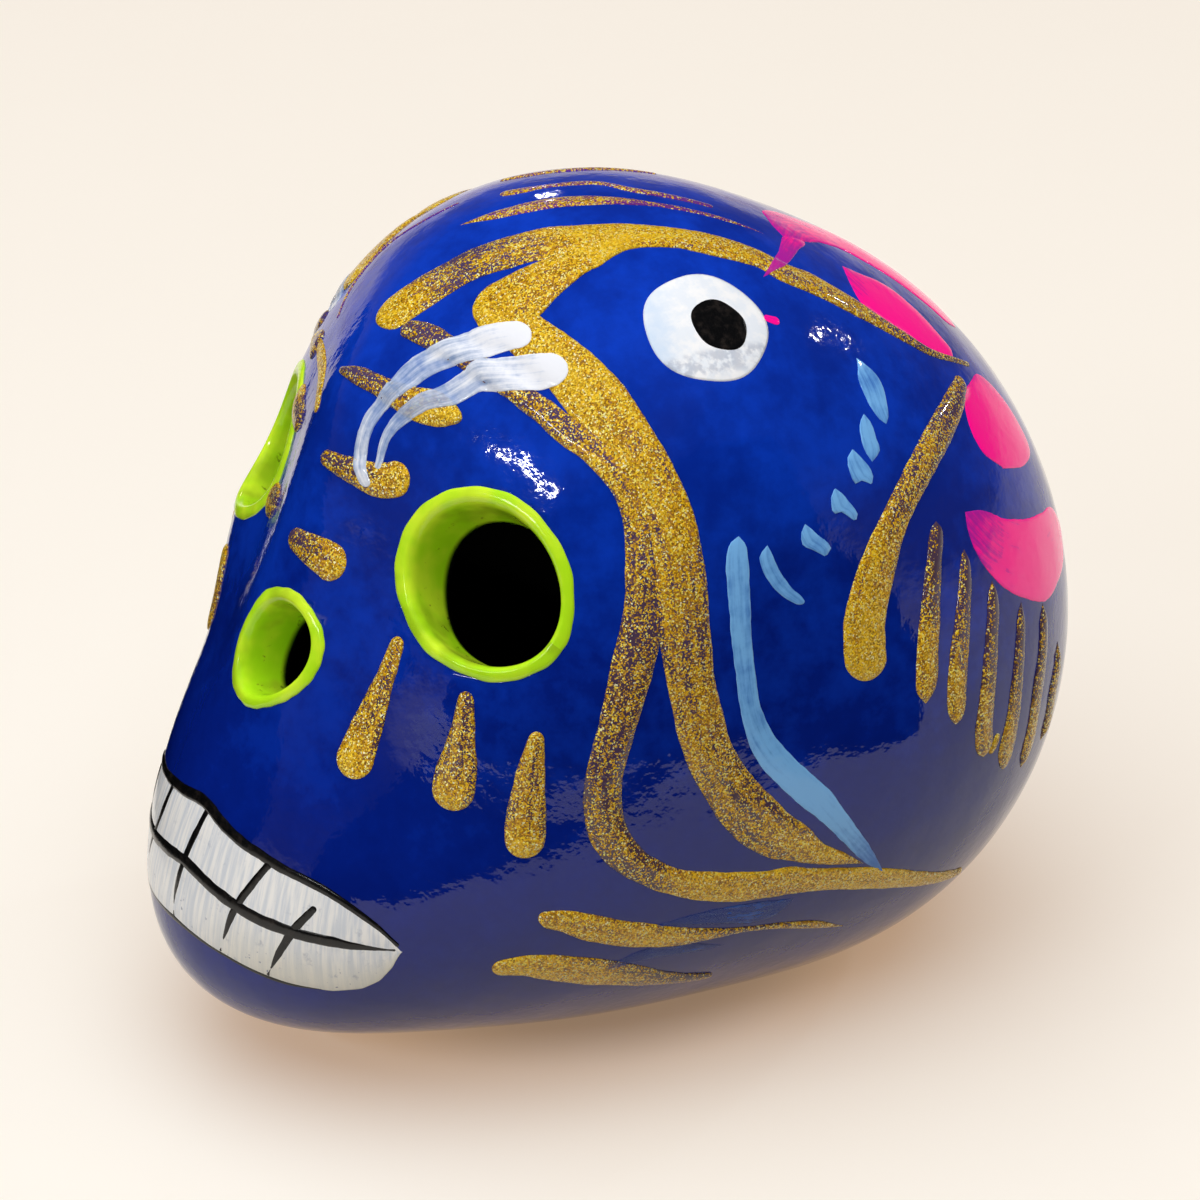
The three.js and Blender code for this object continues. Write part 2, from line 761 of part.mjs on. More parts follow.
const petalStrokes = [
  {
    name: "petal_upper",
    directions: [[135, 58], [141, 52], [139, 43]],
    width: petalWidth,
    widthShares: [0.45, 0.8, 0.6],
    overBeads: true,
  },
  {
    name: "petal_middle",
    directions: [[139, 36], [136, 31], [133, 25]],
    width: petalWidth,
    widthShares: [0.65, 1, 0.8],
  },
  {
    name: "petal_lower",
    directions: [[116, 24], [120, 18], [126, 11], [135, 9]],
    width: petalWidth,
    widthShares: [0.5, 0.9, 1, 0.5],
  },
];
const petalBand = [
  {
    directions: [[154, 74], [169, 60], [158, 52], [148, 40]],
    width: petalWidth,
    widthShares: [0.5, 0.9, 0.9, 0.6],
  },
  { directions: [[160, 68], [130, 71], [99, 66]], width: petalWidth, widthShares: [0.5, 0.45, 0.45] },
];
const ringPlace = { azimuth: 70, elevation: 59 };
const dotPlace = { azimuth: 73, elevation: 59 };

// Paints and beads, as the photograph shows them.
function material(color, roughness, metalness) {
  return new THREE.MeshStandardMaterial({ color, roughness, metalness });
}

const clayBlue = material("#0b2496", 0.12, 0);
const limeEnamel = material("#a6dc12", 0.2, 0);
const toothWhite = material("#f1efe8", 0.25, 0);
const lineBlack = material("#0a0a0e", 0.25, 0);
const glitterGold = material("#d6a21f", 0.35, 0.8);
const milkWhite = material("#dde5f6", 0.25, 0);
const skyBlue = material("#6c9ce2", 0.25, 0);
const petalPink = material("#fb42ae", 0.25, 0);

const skull = new THREE.Group();
skull.name = "sugar_skull";

function addPiece(name, solid, finish) {
  const piece = new THREE.Mesh(geometryOf(solid), finish);
  piece.name = name;
  skull.add(piece);
}

const seamFront = blockSolid(-bodyReach, seamY - seamGap / 2, -bodyReach, 2 * bodyReach);
const seamBack = blockSolid(seamY + seamGap / 2, 2 * bodyReach, -bodyReach, 2 * bodyReach);
addPiece("face_half", clay.intersect(seamFront), clayBlue);
addPiece("back_half", clay.intersect(seamBack), clayBlue);

addPiece("left_eye_rim", rimSolid(eye, 1), limeEnamel);
addPiece("right_eye_rim", rimSolid(eye, -1), limeEnamel);
addPiece("nose_rim", rimSolid(nose, 1), limeEnamel);

addPiece("tooth_lines", toothLattice(), lineBlack);
const teeth = [...toothTiles(1), ...toothTiles(0)];
teeth.forEach((tooth, index) => addPiece(`tooth_${index + 1}`, tooth, toothWhite));

// Beads lie on the clay, and brush strokes that cross them lie over the beads.
const overBeads = filmLift + beadFilm + pieceGap;

for (const [sideName, side] of [["left", 1], ["right", -1]]) {
  const crownSolids = crownStrokes.map((stroke) =>
    strokeSolid({ ...stroke, film: beadFilm }, side, filmLift),
  );
  addPiece(`${sideName}_crown_sweep`, joined(crownSolids), glitterGold);
  for (const [name, stroke] of Object.entries(beadStrokes)) {
    addPiece(`${sideName}_${name}`, strokeSolid({ ...stroke, film: beadFilm }, side, filmLift), glitterGold);
  }
  for (const [name, stroke] of Object.entries(milkStrokes)) {
    addPiece(`${sideName}_${name}`, strokeSolid({ ...stroke, film: brushFilm }, side, overBeads), milkWhite);
  }
  addPiece(`${sideName}_sky_stroke`, strokeSolid({ ...skyStroke, film: brushFilm }, side, filmLift), skyBlue);

  const slip = side < 0 ? sideSlip : 0;
  const ringAim = slippedDirection(side * ringPlace.azimuth, ringPlace.elevation, slip);
  const dotAim = slippedDirection(side * dotPlace.azimuth, dotPlace.elevation, slip);
  const ring = ringSolid(ringAim, ringRadius, dotAim, dotRadius + pieceGap, brushFilm);
  addPiece(`${sideName}_temple_ring`, ring, milkWhite);
  addPiece(`${sideName}_temple_dot`, dotSolid(dotAim, dotRadius, brushFilm), lineBlack);
}

for (const petal of petalStrokes) {
  const lift = petal.overBeads ? overBeads : filmLift;
  addPiece(petal.name, strokeSolid({ ...petal, film: brushFilm }, 1, lift), petalPink);
}
const bandSolids = petalBand.map((petal) => strokeSolid({ ...petal, film: brushFilm }, 1, overBeads));
addPiece("petal_band", joined(bandSolids), petalPink);

export default skull;
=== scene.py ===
import bpy
import numpy as np
from mathutils import Matrix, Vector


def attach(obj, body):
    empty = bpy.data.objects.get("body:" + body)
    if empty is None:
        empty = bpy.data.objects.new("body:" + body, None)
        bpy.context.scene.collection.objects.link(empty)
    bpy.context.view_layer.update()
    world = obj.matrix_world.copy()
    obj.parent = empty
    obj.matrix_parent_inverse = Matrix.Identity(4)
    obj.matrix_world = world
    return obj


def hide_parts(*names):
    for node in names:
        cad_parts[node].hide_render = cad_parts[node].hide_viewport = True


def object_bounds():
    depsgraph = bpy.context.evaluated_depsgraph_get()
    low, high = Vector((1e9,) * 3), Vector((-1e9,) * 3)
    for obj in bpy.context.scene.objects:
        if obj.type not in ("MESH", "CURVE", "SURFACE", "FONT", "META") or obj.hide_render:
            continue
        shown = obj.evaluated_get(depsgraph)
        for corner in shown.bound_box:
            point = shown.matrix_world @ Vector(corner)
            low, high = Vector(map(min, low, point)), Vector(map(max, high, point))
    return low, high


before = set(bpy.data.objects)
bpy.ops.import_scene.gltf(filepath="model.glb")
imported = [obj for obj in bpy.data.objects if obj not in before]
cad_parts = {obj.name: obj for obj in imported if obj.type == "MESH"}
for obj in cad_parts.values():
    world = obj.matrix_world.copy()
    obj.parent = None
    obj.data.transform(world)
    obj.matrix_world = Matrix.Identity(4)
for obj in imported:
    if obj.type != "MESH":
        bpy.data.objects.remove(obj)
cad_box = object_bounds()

# A sugar skull of varnished clay, painted by hand. Shapes are worked out in millimetres, and a mesh is
# made in metres. The face looks along -Y, the skull's left side is +X, and the table is at Z = 0.

bl_info = {
    "name": "Sugar Skull",
    "version": (1, 0, 0),
    "blender": (4, 5, 0),
    "location": "View3D > Sidebar > Skull",
    "description": "A hollow painted skull with enamel sockets, glitter strokes and brushwork",
    "category": "Add Mesh",
}

MM = 0.001

# The form, in millimetres: the heart that directions start from, how softly the lobes blend, a reach
# past the whole skull, the clay's wall, how deep paint goes into the clay, and the step along a stroke.
# The last is how many halvings find the surface along a direction.
HEART = np.array([0.0, 5.0, 45.0])
LOBE_BLEND = 4.6
BODY_REACH = 95.0
SHELL_WALL = 4.6
PAINT_FOOT = 0.06
STATION_STEP = 0.5
HALVINGS = 22

# The finish: how glossy the varnish is, and the size of a glitter flake in millimetres.
VARNISH_GLOSS = 0.42
FLAKE_SIZE = 0.16

# The right side is painted a little differently: its strokes slip away from the midline by these
# degrees, in full above one elevation and not at all under another.
SIDE_SLIP = 18.0
BROW_SLIP = 9.0
SLIP_FROM = -20.0
SLIP_WHOLE = 60.0

# The lobes that the form is blended from: the centre's x, y and z, the half sizes across, along and
# up, and the tilt about X in degrees. A lobe with an x is a mirrored pair.
LOBES = (
    (0.0, 16.0, 41.2, 42.3, 37.7, 43.0, 4.6),
    (0.0, -2.2, 62.9, 35.6, 30.5, 30.0, 5.7),
    (0.0, -29.2, 24.6, 24.0, 27.6, 15.8, 24.0),
    (0.0, -32.0, 42.5, 8.0, 10.0, 12.8, 20.0),
    (0.0, -29.5, 64.0, 5.0, 7.0, 14.0, -20.0),
    (18.3, -14.3, 47.7, 15.0, 20.8, 18.0, 0.0),
    (0.0, -7.5, 27.7, 36.0, 42.0, 27.4, 0.0),
)


def skull_distance(points):
    """Roughly how far points are from the form, negative inside: a soft minimum of each lobe's own
    distance, k(k - 1) over the slope of k, where k is the point's share of the lobe's half sizes."""
    distances = []
    for x, y, z, half_x, half_y, half_z, tilt in LOBES:
        turn = np.radians(tilt)
        across = np.abs(points[..., 0]) - x if x else points[..., 0]
        back = points[..., 1] - y
        rise = points[..., 2] - z
        along = np.cos(turn) * back + np.sin(turn) * rise
        tall = np.cos(turn) * rise - np.sin(turn) * back
        share = np.sqrt((across / half_x) ** 2 + (along / half_y) ** 2 + (tall / half_z) ** 2)
        slope = np.sqrt((across / half_x**2) ** 2 + (along / half_y**2) ** 2 + (tall / half_z**2) ** 2)
        distances.append(share * (share - 1) / slope)
    distances = np.stack(distances)
    nearest = distances.min(0)
    return nearest - LOBE_BLEND * np.log(np.exp((nearest - distances) / LOBE_BLEND).sum(0))


def unit(vectors):
    return vectors / np.linalg.norm(vectors, axis=-1, keepdims=True)


def aim(azimuth, elevation):
    """Directions from the heart: azimuth from the face towards the left side, and elevation, both in
    degrees."""
    turn = np.radians(azimuth)
    rise = np.radians(elevation)
    parts = (np.cos(rise) * np.sin(turn), -np.cos(rise) * np.cos(turn), np.sin(rise))
    return np.stack(np.broadcast_arrays(*parts), -1)


def surface_radius(directions):
    """How far the surface is from the heart in unit directions, found by halving."""
    low = np.zeros(directions.shape[:-1])
    high = np.full(directions.shape[:-1], BODY_REACH)
    for _ in range(HALVINGS):
        middle = (low + high) / 2
        inside = skull_distance(HEART + directions * middle[..., None]) < 0
        low = np.where(inside, middle, low)
        high = np.where(inside, high, middle)
    return low


def surface_normal(points):
    step = 0.05
    steps = step * np.eye(3)
    slopes = [skull_distance(points + move) - skull_distance(points - move) for move in steps]
    return unit(np.stack(slopes, -1))


def surface_at(directions):
    """The points of the surface in some directions, with their outward normals."""
    rays = unit(directions)
    points = HEART + rays * surface_radius(rays)[..., None]
    return points, surface_normal(points)


def slip_away(directions, slip):
    """Directions on the left side, turned about Y away from the midline: by a whole slip in degrees
    over the crown, by nothing at the jaw, and smoothly between."""
    rise = np.degrees(np.arcsin(np.clip(directions[..., 2], -1, 1)))
    share = np.clip((rise - SLIP_FROM) / (SLIP_WHOLE - SLIP_FROM), 0, 1)
    turn = np.radians(slip) * share**2 * (3 - 2 * share)
    across = directions[..., 0] * np.cos(turn) + directions[..., 2] * np.sin(turn)
    up = directions[..., 2] * np.cos(turn) - directions[..., 0] * np.sin(turn)
    return np.stack([across, directions[..., 1], up], -1)


def waves(places, seed, count=5):
    """Smooth seeded irregularity from -1 to 1: a mean of sines whose lengths shorten in turn."""
    draw = np.random.default_rng(seed)
    total = np.zeros_like(places, dtype=float)
    for step in range(count):
        phase = draw.uniform(0, 2 * np.pi)
        stretch = draw.uniform(0.8, 1.25) * 1.7**step
        total += np.sin(places * stretch + phase) / (1 + 0.4 * step)
    return total / 2.2


def spline(points, samples=400):
    """A centripetal Catmull-Rom curve through points, sampled evenly by length."""
    points = np.asarray(points, float)
    points = np.concatenate([[2 * points[0] - points[1]], points, [2 * points[-1] - points[-2]]])
    knots = np.concatenate([[0], np.cumsum(np.linalg.norm(np.diff(points, axis=0), axis=1) ** 0.5)])
    places = np.linspace(knots[1], knots[-2], samples * 2)
    span = np.clip(np.searchsorted(knots, places, side="right") - 1, 1, len(points) - 3)

    def blend(first, second, start, end):
        share = ((places - knots[start]) / (knots[end] - knots[start]))[:, None]
        return first * (1 - share) + second * share

    first = blend(points[span - 1], points[span], span - 1, span)
    second = blend(points[span], points[span + 1], span, span + 1)
    third = blend(points[span + 1], points[span + 2], span + 1, span + 2)
    near = blend(first, second, span - 1, span + 1)
    far = blend(second, third, span, span + 2)
    curve = blend(near, far, span, span + 1)
    reach = np.concatenate([[0], np.cumsum(np.linalg.norm(np.diff(curve, axis=0), axis=1))])
    even = np.linspace(0, reach[-1], samples)
    return np.stack([np.interp(even, reach, curve[:, axis]) for axis in range(3)], -1)


def grid_faces(rows, columns, wrap_rows=False, wrap_columns=False):
    """The quads of a grid of vertices, row by row, that face the side from which rows go up and
    columns go right."""
    row = np.arange(rows if wrap_rows else rows - 1)[:, None]
    column = np.arange(columns if wrap_columns else columns - 1)[None, :]
    next_row = (row + 1) % rows
    next_column = (column + 1) % columns
    corners = (
        row * columns + column,
        row * columns + next_column,
        next_row * columns + next_column,
        next_row * columns + column,
    )
    return np.stack(np.broadcast_arrays(*corners), -1).reshape(-1, 4)


def fan_faces(start, count, pole, turned=False):
    """Triangles from a ring of vertices to a pole."""
    ring = start + np.arange(count)
    after = start + (np.arange(count) + 1) % count
    corners = (after, ring, np.full(count, pole)) if turned else (ring, after, np.full(count, pole))
    return np.stack(corners, -1)


def put_mesh(name, points, quads, triangles, material, attribute=None, mirror=False):
    """Makes an object at the origin from points in millimetres. A mirrored copy swaps the sides of the
    skull and turns each face round. The attribute is one vector for each point."""
    points = points * MM
    quads = np.asarray(quads, int).reshape(-1, 4)
    triangles = np.asarray(triangles, int).reshape(-1, 3)
    if mirror:
        points = points * np.array([-1.0, 1.0, 1.0])
        quads = quads[:, ::-1]
        triangles = triangles[:, ::-1]
    mesh = bpy.data.meshes.new(name)
    mesh.from_pydata(points.tolist(), [], quads.tolist() + triangles.tolist())
    mesh.polygons.foreach_set("use_smooth", np.ones(len(mesh.polygons), bool))
    if attribute is not None:
        layer = mesh.attributes.new("paint", "FLOAT_VECTOR", "POINT")
        layer.data.foreach_set("vector", np.asarray(attribute, np.float32).ravel())
    mesh.materials.append(material)
    mesh.update()
    piece = bpy.data.objects.new(name, mesh)
    bpy.context.scene.collection.objects.link(piece)
    return piece


def settle(piece, slot, *nodes):
    """Hangs a finished piece on the root and hides the nodes that it stands for. The slot is not used."""
    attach(piece, "root")
    if nodes:
        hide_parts(*nodes)


# The openings: the azimuth and elevation of the middle and of the direction of the cut, the half sizes
# across and up, the turn of the outline, and how much narrower it is at its top.
EYE = (31.8, 23.1, 20.0, 36.0, 9.7, 8.6, -19.5, 0.06)
NOSE = (2.2, 6.4, 0.0, 25.0, 5.3, 6.6, -33.0, -0.07)
OPENING_FLARE = np.tan(np.radians(6.0))


def opening_axes(opening, side):
    """The middle of an opening on the surface, and its directions across, up and out."""
    azimuth, elevation, cut_azimuth, cut_elevation = opening[:4]
    out = aim(side * cut_azimuth, cut_elevation)
    across = aim(side * cut_azimuth + 90, 0.0)
    up = np.cross(out, across)
    middle = surface_at(aim(side * azimuth, elevation)[None])[0][0]
    return middle, across, up, out


def opening_line(opening, side, angle, grow, along):
    """A point of the flared wall of an opening that is grown all round, at a place along the cut: an
    oval, widened by the flare and turned."""
    half_across, half_up, turn, narrow = opening[4:]
    middle, across, up, out = opening_axes(opening, side)
    widen = 1 + along / half_up * OPENING_FLARE
    wide = (half_across + grow) * np.cos(angle) * (1 - narrow * np.sin(angle)) * widen
    tall = (half_up + grow) * np.sin(angle) * widen
    spin = np.radians(side * turn)
    flat_x = np.cos(spin) * wide - np.sin(spin) * tall
    flat_y = np.sin(spin) * wide + np.cos(spin) * tall
    return middle + flat_x[..., None] * across + flat_y[..., None] * up + along[..., None] * out


def opening_point(opening, side, angle, grow, depth):
    """Where the wall of a grown opening lies at a depth under the clay's outer face, by halving."""
    low = np.full(np.shape(angle), -3 * SHELL_WALL)
    high = -low
    for _ in range(HALVINGS):
        middle = (low + high) / 2
        below = skull_distance(opening_line(opening, side, angle, grow, middle)) < -depth
        low = np.where(below, middle, low)
        high = np.where(below, high, middle)
    return opening_line(opening, side, angle, grow, low)


def opening_share(opening, side, points):
    """How far points are from an opening's axis, as a share of its outline, and the angle there."""
    half_across, half_up, turn, narrow = opening[4:]
    middle, across, up, out = opening_axes(opening, side)
    offset = points - middle
    flat_x = offset @ across
    flat_y = offset @ up
    widen = 1 + (offset @ out) / half_up * OPENING_FLARE
    spin = np.radians(side * turn)
    wide = (np.cos(spin) * flat_x + np.sin(spin) * flat_y) / (half_across * widen)
    tall = (np.cos(spin) * flat_y - np.sin(spin) * flat_x) / (half_up * widen)
    angle = np.arctan2(tall, wide)
    wide = wide / (1 - narrow * np.sin(angle))
    return np.hypot(wide, tall), np.arctan2(tall, wide)


def build_shell(material, detail):
    """The clay: directions on a grid of azimuth and elevation, the outer face where they meet the form
    or the table, the inner face a wall's depth under it, and the openings cut through both."""
    columns = 2 * detail
    azimuth = np.linspace(-180, 180, columns, endpoint=False)
    elevation = np.linspace(-90, 90, detail + 1)[1:-1]
    rays = aim(azimuth[None, :], elevation[:, None]).reshape(-1, 3)
    rays = np.concatenate([rays, aim(0.0, -90.0)[None], aim(0.0, 90.0)[None]])
    openings = [(EYE, 1), (EYE, -1), (NOSE, 1)]
    edge = 0.6 * np.pi * BODY_REACH / 2 / detail
    outer, normals = surface_at(rays)
    hole = np.zeros(len(rays), bool)
    cut = np.zeros_like(rays)
    for opening, side in openings:
        middle, _, _, out = opening_axes(opening, side)
        share, angle = opening_share(opening, side, outer)
        facing = np.linalg.norm(outer - middle, axis=1) < 2.2 * opening[4]
        size = opening[5]
        hole |= facing & (share < 1 - edge / size)
        snap = facing & (np.abs(share - 1) <= edge / size)
        outer[snap] = opening_point(opening, side, angle[snap], 0.0, 0.0)
        cut += np.where(facing, np.clip(1.8 - share, 0, 1), 0)[:, None] * out
    table = np.full(len(rays), np.inf)
    down = rays[:, 2] < -0.05
    table[down] = -HEART[2] / rays[down, 2]
    reach = np.linalg.norm(outer - HEART, axis=1)
    on_table = reach > table
    outer[on_table] = HEART + rays[on_table] * table[on_table, None]
    normals[~on_table] = surface_normal(outer[~on_table])
    normals[on_table] = (0.0, 0.0, -1.0)
    outer = np.clip(outer, *np.array(cad_box) / MM)
    depth_way = unit(unit(outer - HEART) * (1 - np.linalg.norm(cut, axis=1, keepdims=True)) + cut)
    slant = np.clip((depth_way * normals).sum(1), 0.5, 1)
    inner = outer - depth_way * (SHELL_WALL / slant)[:, None]
    count = len(rays)
    rows = detail - 1
    quads = grid_faces(rows, columns, wrap_columns=True)
    bottom = fan_faces(0, columns, count - 2, turned=True)
    top = fan_faces((rows - 1) * columns, columns, count - 1)
    quads = quads[~hole[quads].any(1)]
    pairs = np.concatenate([quads[:, [0, 1]], quads[:, [1, 2]], quads[:, [2, 3]], quads[:, [3, 0]]])
    reverse = set(map(tuple, pairs[:, ::-1].tolist()))
    fans = np.concatenate([bottom, top])
    fan_pairs = np.concatenate([fans[:, [0, 1]], fans[:, [1, 2]], fans[:, [2, 0]]])
    reverse |= set(map(tuple, fan_pairs[:, ::-1].tolist()))
    rim = np.array([pair for pair in map(tuple, pairs.tolist()) if pair not in reverse], int)
    walls = np.stack([rim[:, 1], rim[:, 0], rim[:, 0] + count, rim[:, 1] + count], -1)
    points = np.concatenate([outer, inner])
    all_quads = np.concatenate([quads, quads[:, ::-1] + count, walls])
    all_fans = np.concatenate([fans, fans[:, ::-1] + count])
    used = np.zeros(len(points), bool)
    used[all_quads.ravel()] = True
    used[all_fans.ravel()] = True
    renumber = np.cumsum(used) - 1
    inside = np.concatenate([np.zeros(count), np.ones(count)])
    attribute = np.stack([inside, inside * 0, inside * 0], -1)
    return put_mesh(
        "skull_shell",
        points[used],
        renumber[all_quads],
        renumber[all_fans],
        material,
        attribute[used],
    )


def build_enamel(name, opening, side, material, lap, seed):
    """Enamel round an opening: a section swept round the outline, from the ragged edge of the lap on
    the face, over a rounded lip, down the wall and back inside the clay. A row of the section is the
    share of the lap, how far the opening is grown, the depth under the clay's face and the height over
    it."""
    steps = 180
    angle = np.linspace(0, 2 * np.pi, steps, endpoint=False)
    ragged = lap * (1 + 0.22 * waves(angle * 2, seed))
    ragged = ragged + (ragged[0] - ragged[-1]) * (angle / (2 * np.pi)) ** 8
    lip = np.linspace(0, np.pi / 2, 7)
    film = 0.26
    inset = 0.85
    fall = np.linspace(1.0, SHELL_WALL + 0.5, 8)
    lip_height = film + 0.04
    section = [(1.0, 0.0, 0.0, -0.05), (1.0, 0.0, 0.0, 0.02), (0.88, 0.0, 0.0, 0.14)]
    section += [(0.55, 0.0, 0.0, film), (0.0, 0.0, 0.0, lip_height)]
    for turn in lip:
        grow = -0.15 - (inset - 0.15) * np.sin(turn)
        section.append((0.0, grow, 0.9 * (1 - np.cos(turn)), lip_height * np.cos(turn)))
    section += [(0.0, -inset, depth, 0.0) for depth in fall]
    section += [(0.0, 0.1, SHELL_WALL + 0.5, 0.0), (0.0, 0.1, 0.8, 0.0), (0.4, 0.0, 0.0, -0.35)]
    rings = []
    for lap_share, grow, depth, height in section:
        grown = lap_share * ragged + grow
        places = opening_point(opening, side, angle, grown, depth)
        if height:
            places = places + surface_normal(places) * height
        rings.append(places)
    points = np.stack(rings).reshape(-1, 3)
    quads = grid_faces(len(section), steps, wrap_rows=True, wrap_columns=True)
    if side > 0:
        quads = quads[:, ::-1]
    depths = np.array([row[2] for row in section])[:, None] + angle * 0
    angles = np.broadcast_to(angle, depths.shape)
    attribute = np.stack([angles, depths, depths * 0], -1).reshape(-1, 3)
    return put_mesh(name, points, quads, [], material, attribute)


def bead_relief(places, beads):
    """How high the beads stand under some places: the round profile of the nearest bead's section."""
    height = np.zeros(places.shape[:-1])
    for middles, halves, crown in beads:
        gaps = np.linalg.norm(places[..., None, :] - middles, axis=-1)
        share = (gaps / halves).min(-1)
        height = np.maximum(height, crown * np.sqrt(np.clip(1 - share**2, 0, 1)))
    return height


def lay_places(places, turn, slip):
    """A smooth line through places on the surface, turned and slipped as a right-hand one is."""
    rays = unit(spline([aim(azimuth + turn, elevation) for azimuth, elevation in places], 700))
    return surface_at(slip_away(rays, slip))


def stroke_edges(stroke, right):
    """The two edges of a stroke, at many places along it: traced ones, or half a width each side of its
    path."""
    turn = stroke.get("turn", 0.0) if right else 0.0
    slip = stroke.get("slip", 0.0) if right else 0.0
    if "path" in stroke:
        middle, normals = lay_places(stroke["path"], turn, slip)
        sides = unit(np.cross(normals, np.gradient(middle, axis=0)))
        shares = np.linspace(0, 1, len(stroke["widths"]))
        widths = np.interp(np.linspace(0, 1, len(middle)), shares, stroke["widths"])
        halves = widths[:, None] / 2
        low = middle - sides * halves
        high = middle + sides * halves
    else:
        low, normals = lay_places(stroke["low"], turn, slip)
        high, _ = lay_places(stroke["high"], turn, slip)
        ahead = np.gradient((low + high) / 2, axis=0)
        if (np.cross(normals, ahead) * (high - low)).sum() < 0:
            low, high = high, low
    start, end = stroke.get("span", (0.0, 1.0)) if right else (0.0, 1.0)
    kept = slice(int(start * len(low)), int(end * len(low)))
    return low[kept], high[kept]


def build_stroke(name, stroke, material, mirror, beads, seed):
    """A stroke of paint or glitter: stations that crowd to its ends, each a row of places from edge to
    edge that rise to a crown, rounded off at blunt ends and closed by a row just under the clay's face.
    A glitter stroke leaves its relief in beads, for the paint that passes over it."""
    low, high = stroke_edges(stroke, mirror)
    line = (low + high) / 2
    reach = np.concatenate([[0], np.cumsum(np.linalg.norm(np.diff(line, axis=0), axis=1))])
    length = reach[-1]
    wide = np.linalg.norm(high - low, axis=1) / 2
    first = max(wide[0], 0.15)
    last = max(wide[-1], 0.15)
    curve = np.linspace(0, np.pi / 2, 8)
    stations = max(4, int((length - first - last) / STATION_STEP))
    opening = first * (1 - np.cos(curve))[:-1]
    closing = length - last * (1 - np.sin(curve))[1:]
    far = np.concatenate([opening, np.linspace(first, length - last, stations), closing])
    low = np.stack([np.interp(far, reach, low[:, axis]) for axis in range(3)], -1)
    high = np.stack([np.interp(far, reach, high[:, axis]) for axis in range(3)], -1)
    middles = (low + high) / 2
    reaches = (high - low) / 2
    ends = np.minimum(far / first, (length - far) / last)
    round_share = np.sqrt(np.clip(1 - (1 - np.clip(ends, 0, 1)) ** 2, 0, 1))
    halves = np.linalg.norm(reaches, axis=1)
    ragged = stroke.get("ragged", 0.06) * round_share / np.maximum(halves, 0.6)
    left = round_share + ragged * waves(far, seed)
    right = round_share + ragged * waves(far, seed + 500)
    columns = 2 * max(7, int(halves.max() / 0.9)) + 1
    across = np.sin(np.linspace(-np.pi / 2, np.pi / 2, columns))
    shares = across * np.where(across < 0, left[:, None], right[:, None])
    places = middles[:, None, :] + reaches[:, None, :] * shares[..., None]
    feet, normals = surface_at(places - HEART)
    dome = (1 - across**2) ** stroke.get("dome", 0.5)
    fullness = round_share * np.clip(halves / 0.7, 0, 1)
    rise = stroke["crown"] * dome[None, :] * fullness[:, None]
    if stroke.get("over_beads"):
        rise = rise + bead_relief(feet, beads)
    top = feet + normals * rise[..., None]
    bottom = (feet - normals * PAINT_FOOT)[:, ::-1]
    rings = np.concatenate([top, bottom[:, 1:-1]], 1)[1:-1]
    cover = np.interp(far / length, np.linspace(0, 1, len(stroke["cover"])), stroke["cover"])
    ring_across = np.concatenate([across, across[::-1][1:-1]])
    parts = (far[1:-1, None], ring_across[None, :] * halves[1:-1, None], cover[1:-1, None])
    attribute = np.stack(np.broadcast_arrays(*parts), -1)
    count, around = rings.shape[:2]
    tips = surface_at(middles[[0, -1]] - HEART)[0]
    points = np.concatenate([rings.reshape(-1, 3), tips])
    tip_rows = np.array([[0.0, 0.0, cover[0]], [length, 0.0, cover[-1]]])
    attributes = np.concatenate([attribute.reshape(-1, 3), tip_rows])
    quads = grid_faces(count, around, wrap_columns=True)[:, ::-1]
    fans = np.concatenate([
        fan_faces(0, around, len(points) - 2),
        fan_faces((count - 1) * around, around, len(points) - 1, turned=True),
    ])
    if stroke["crown"] >= 0.2:
        spread = halves * np.maximum(round_share, 0.05)
        beads.append((feet[::2, columns // 2], spread[::2], stroke["crown"]))
    return put_mesh(name, points, quads, fans, material, attributes, mirror)


# The temple's discs: azimuth and elevation in degrees, how much taller than wide, the crown and the lift
# in millimetres, and the seed of the ragged edge.
RING = (69.9, 59.1, 1.02, 0.14, 0.0, 1)
DOT = (73.0, 59.0, 1.04, 0.1, 0.16, 4)


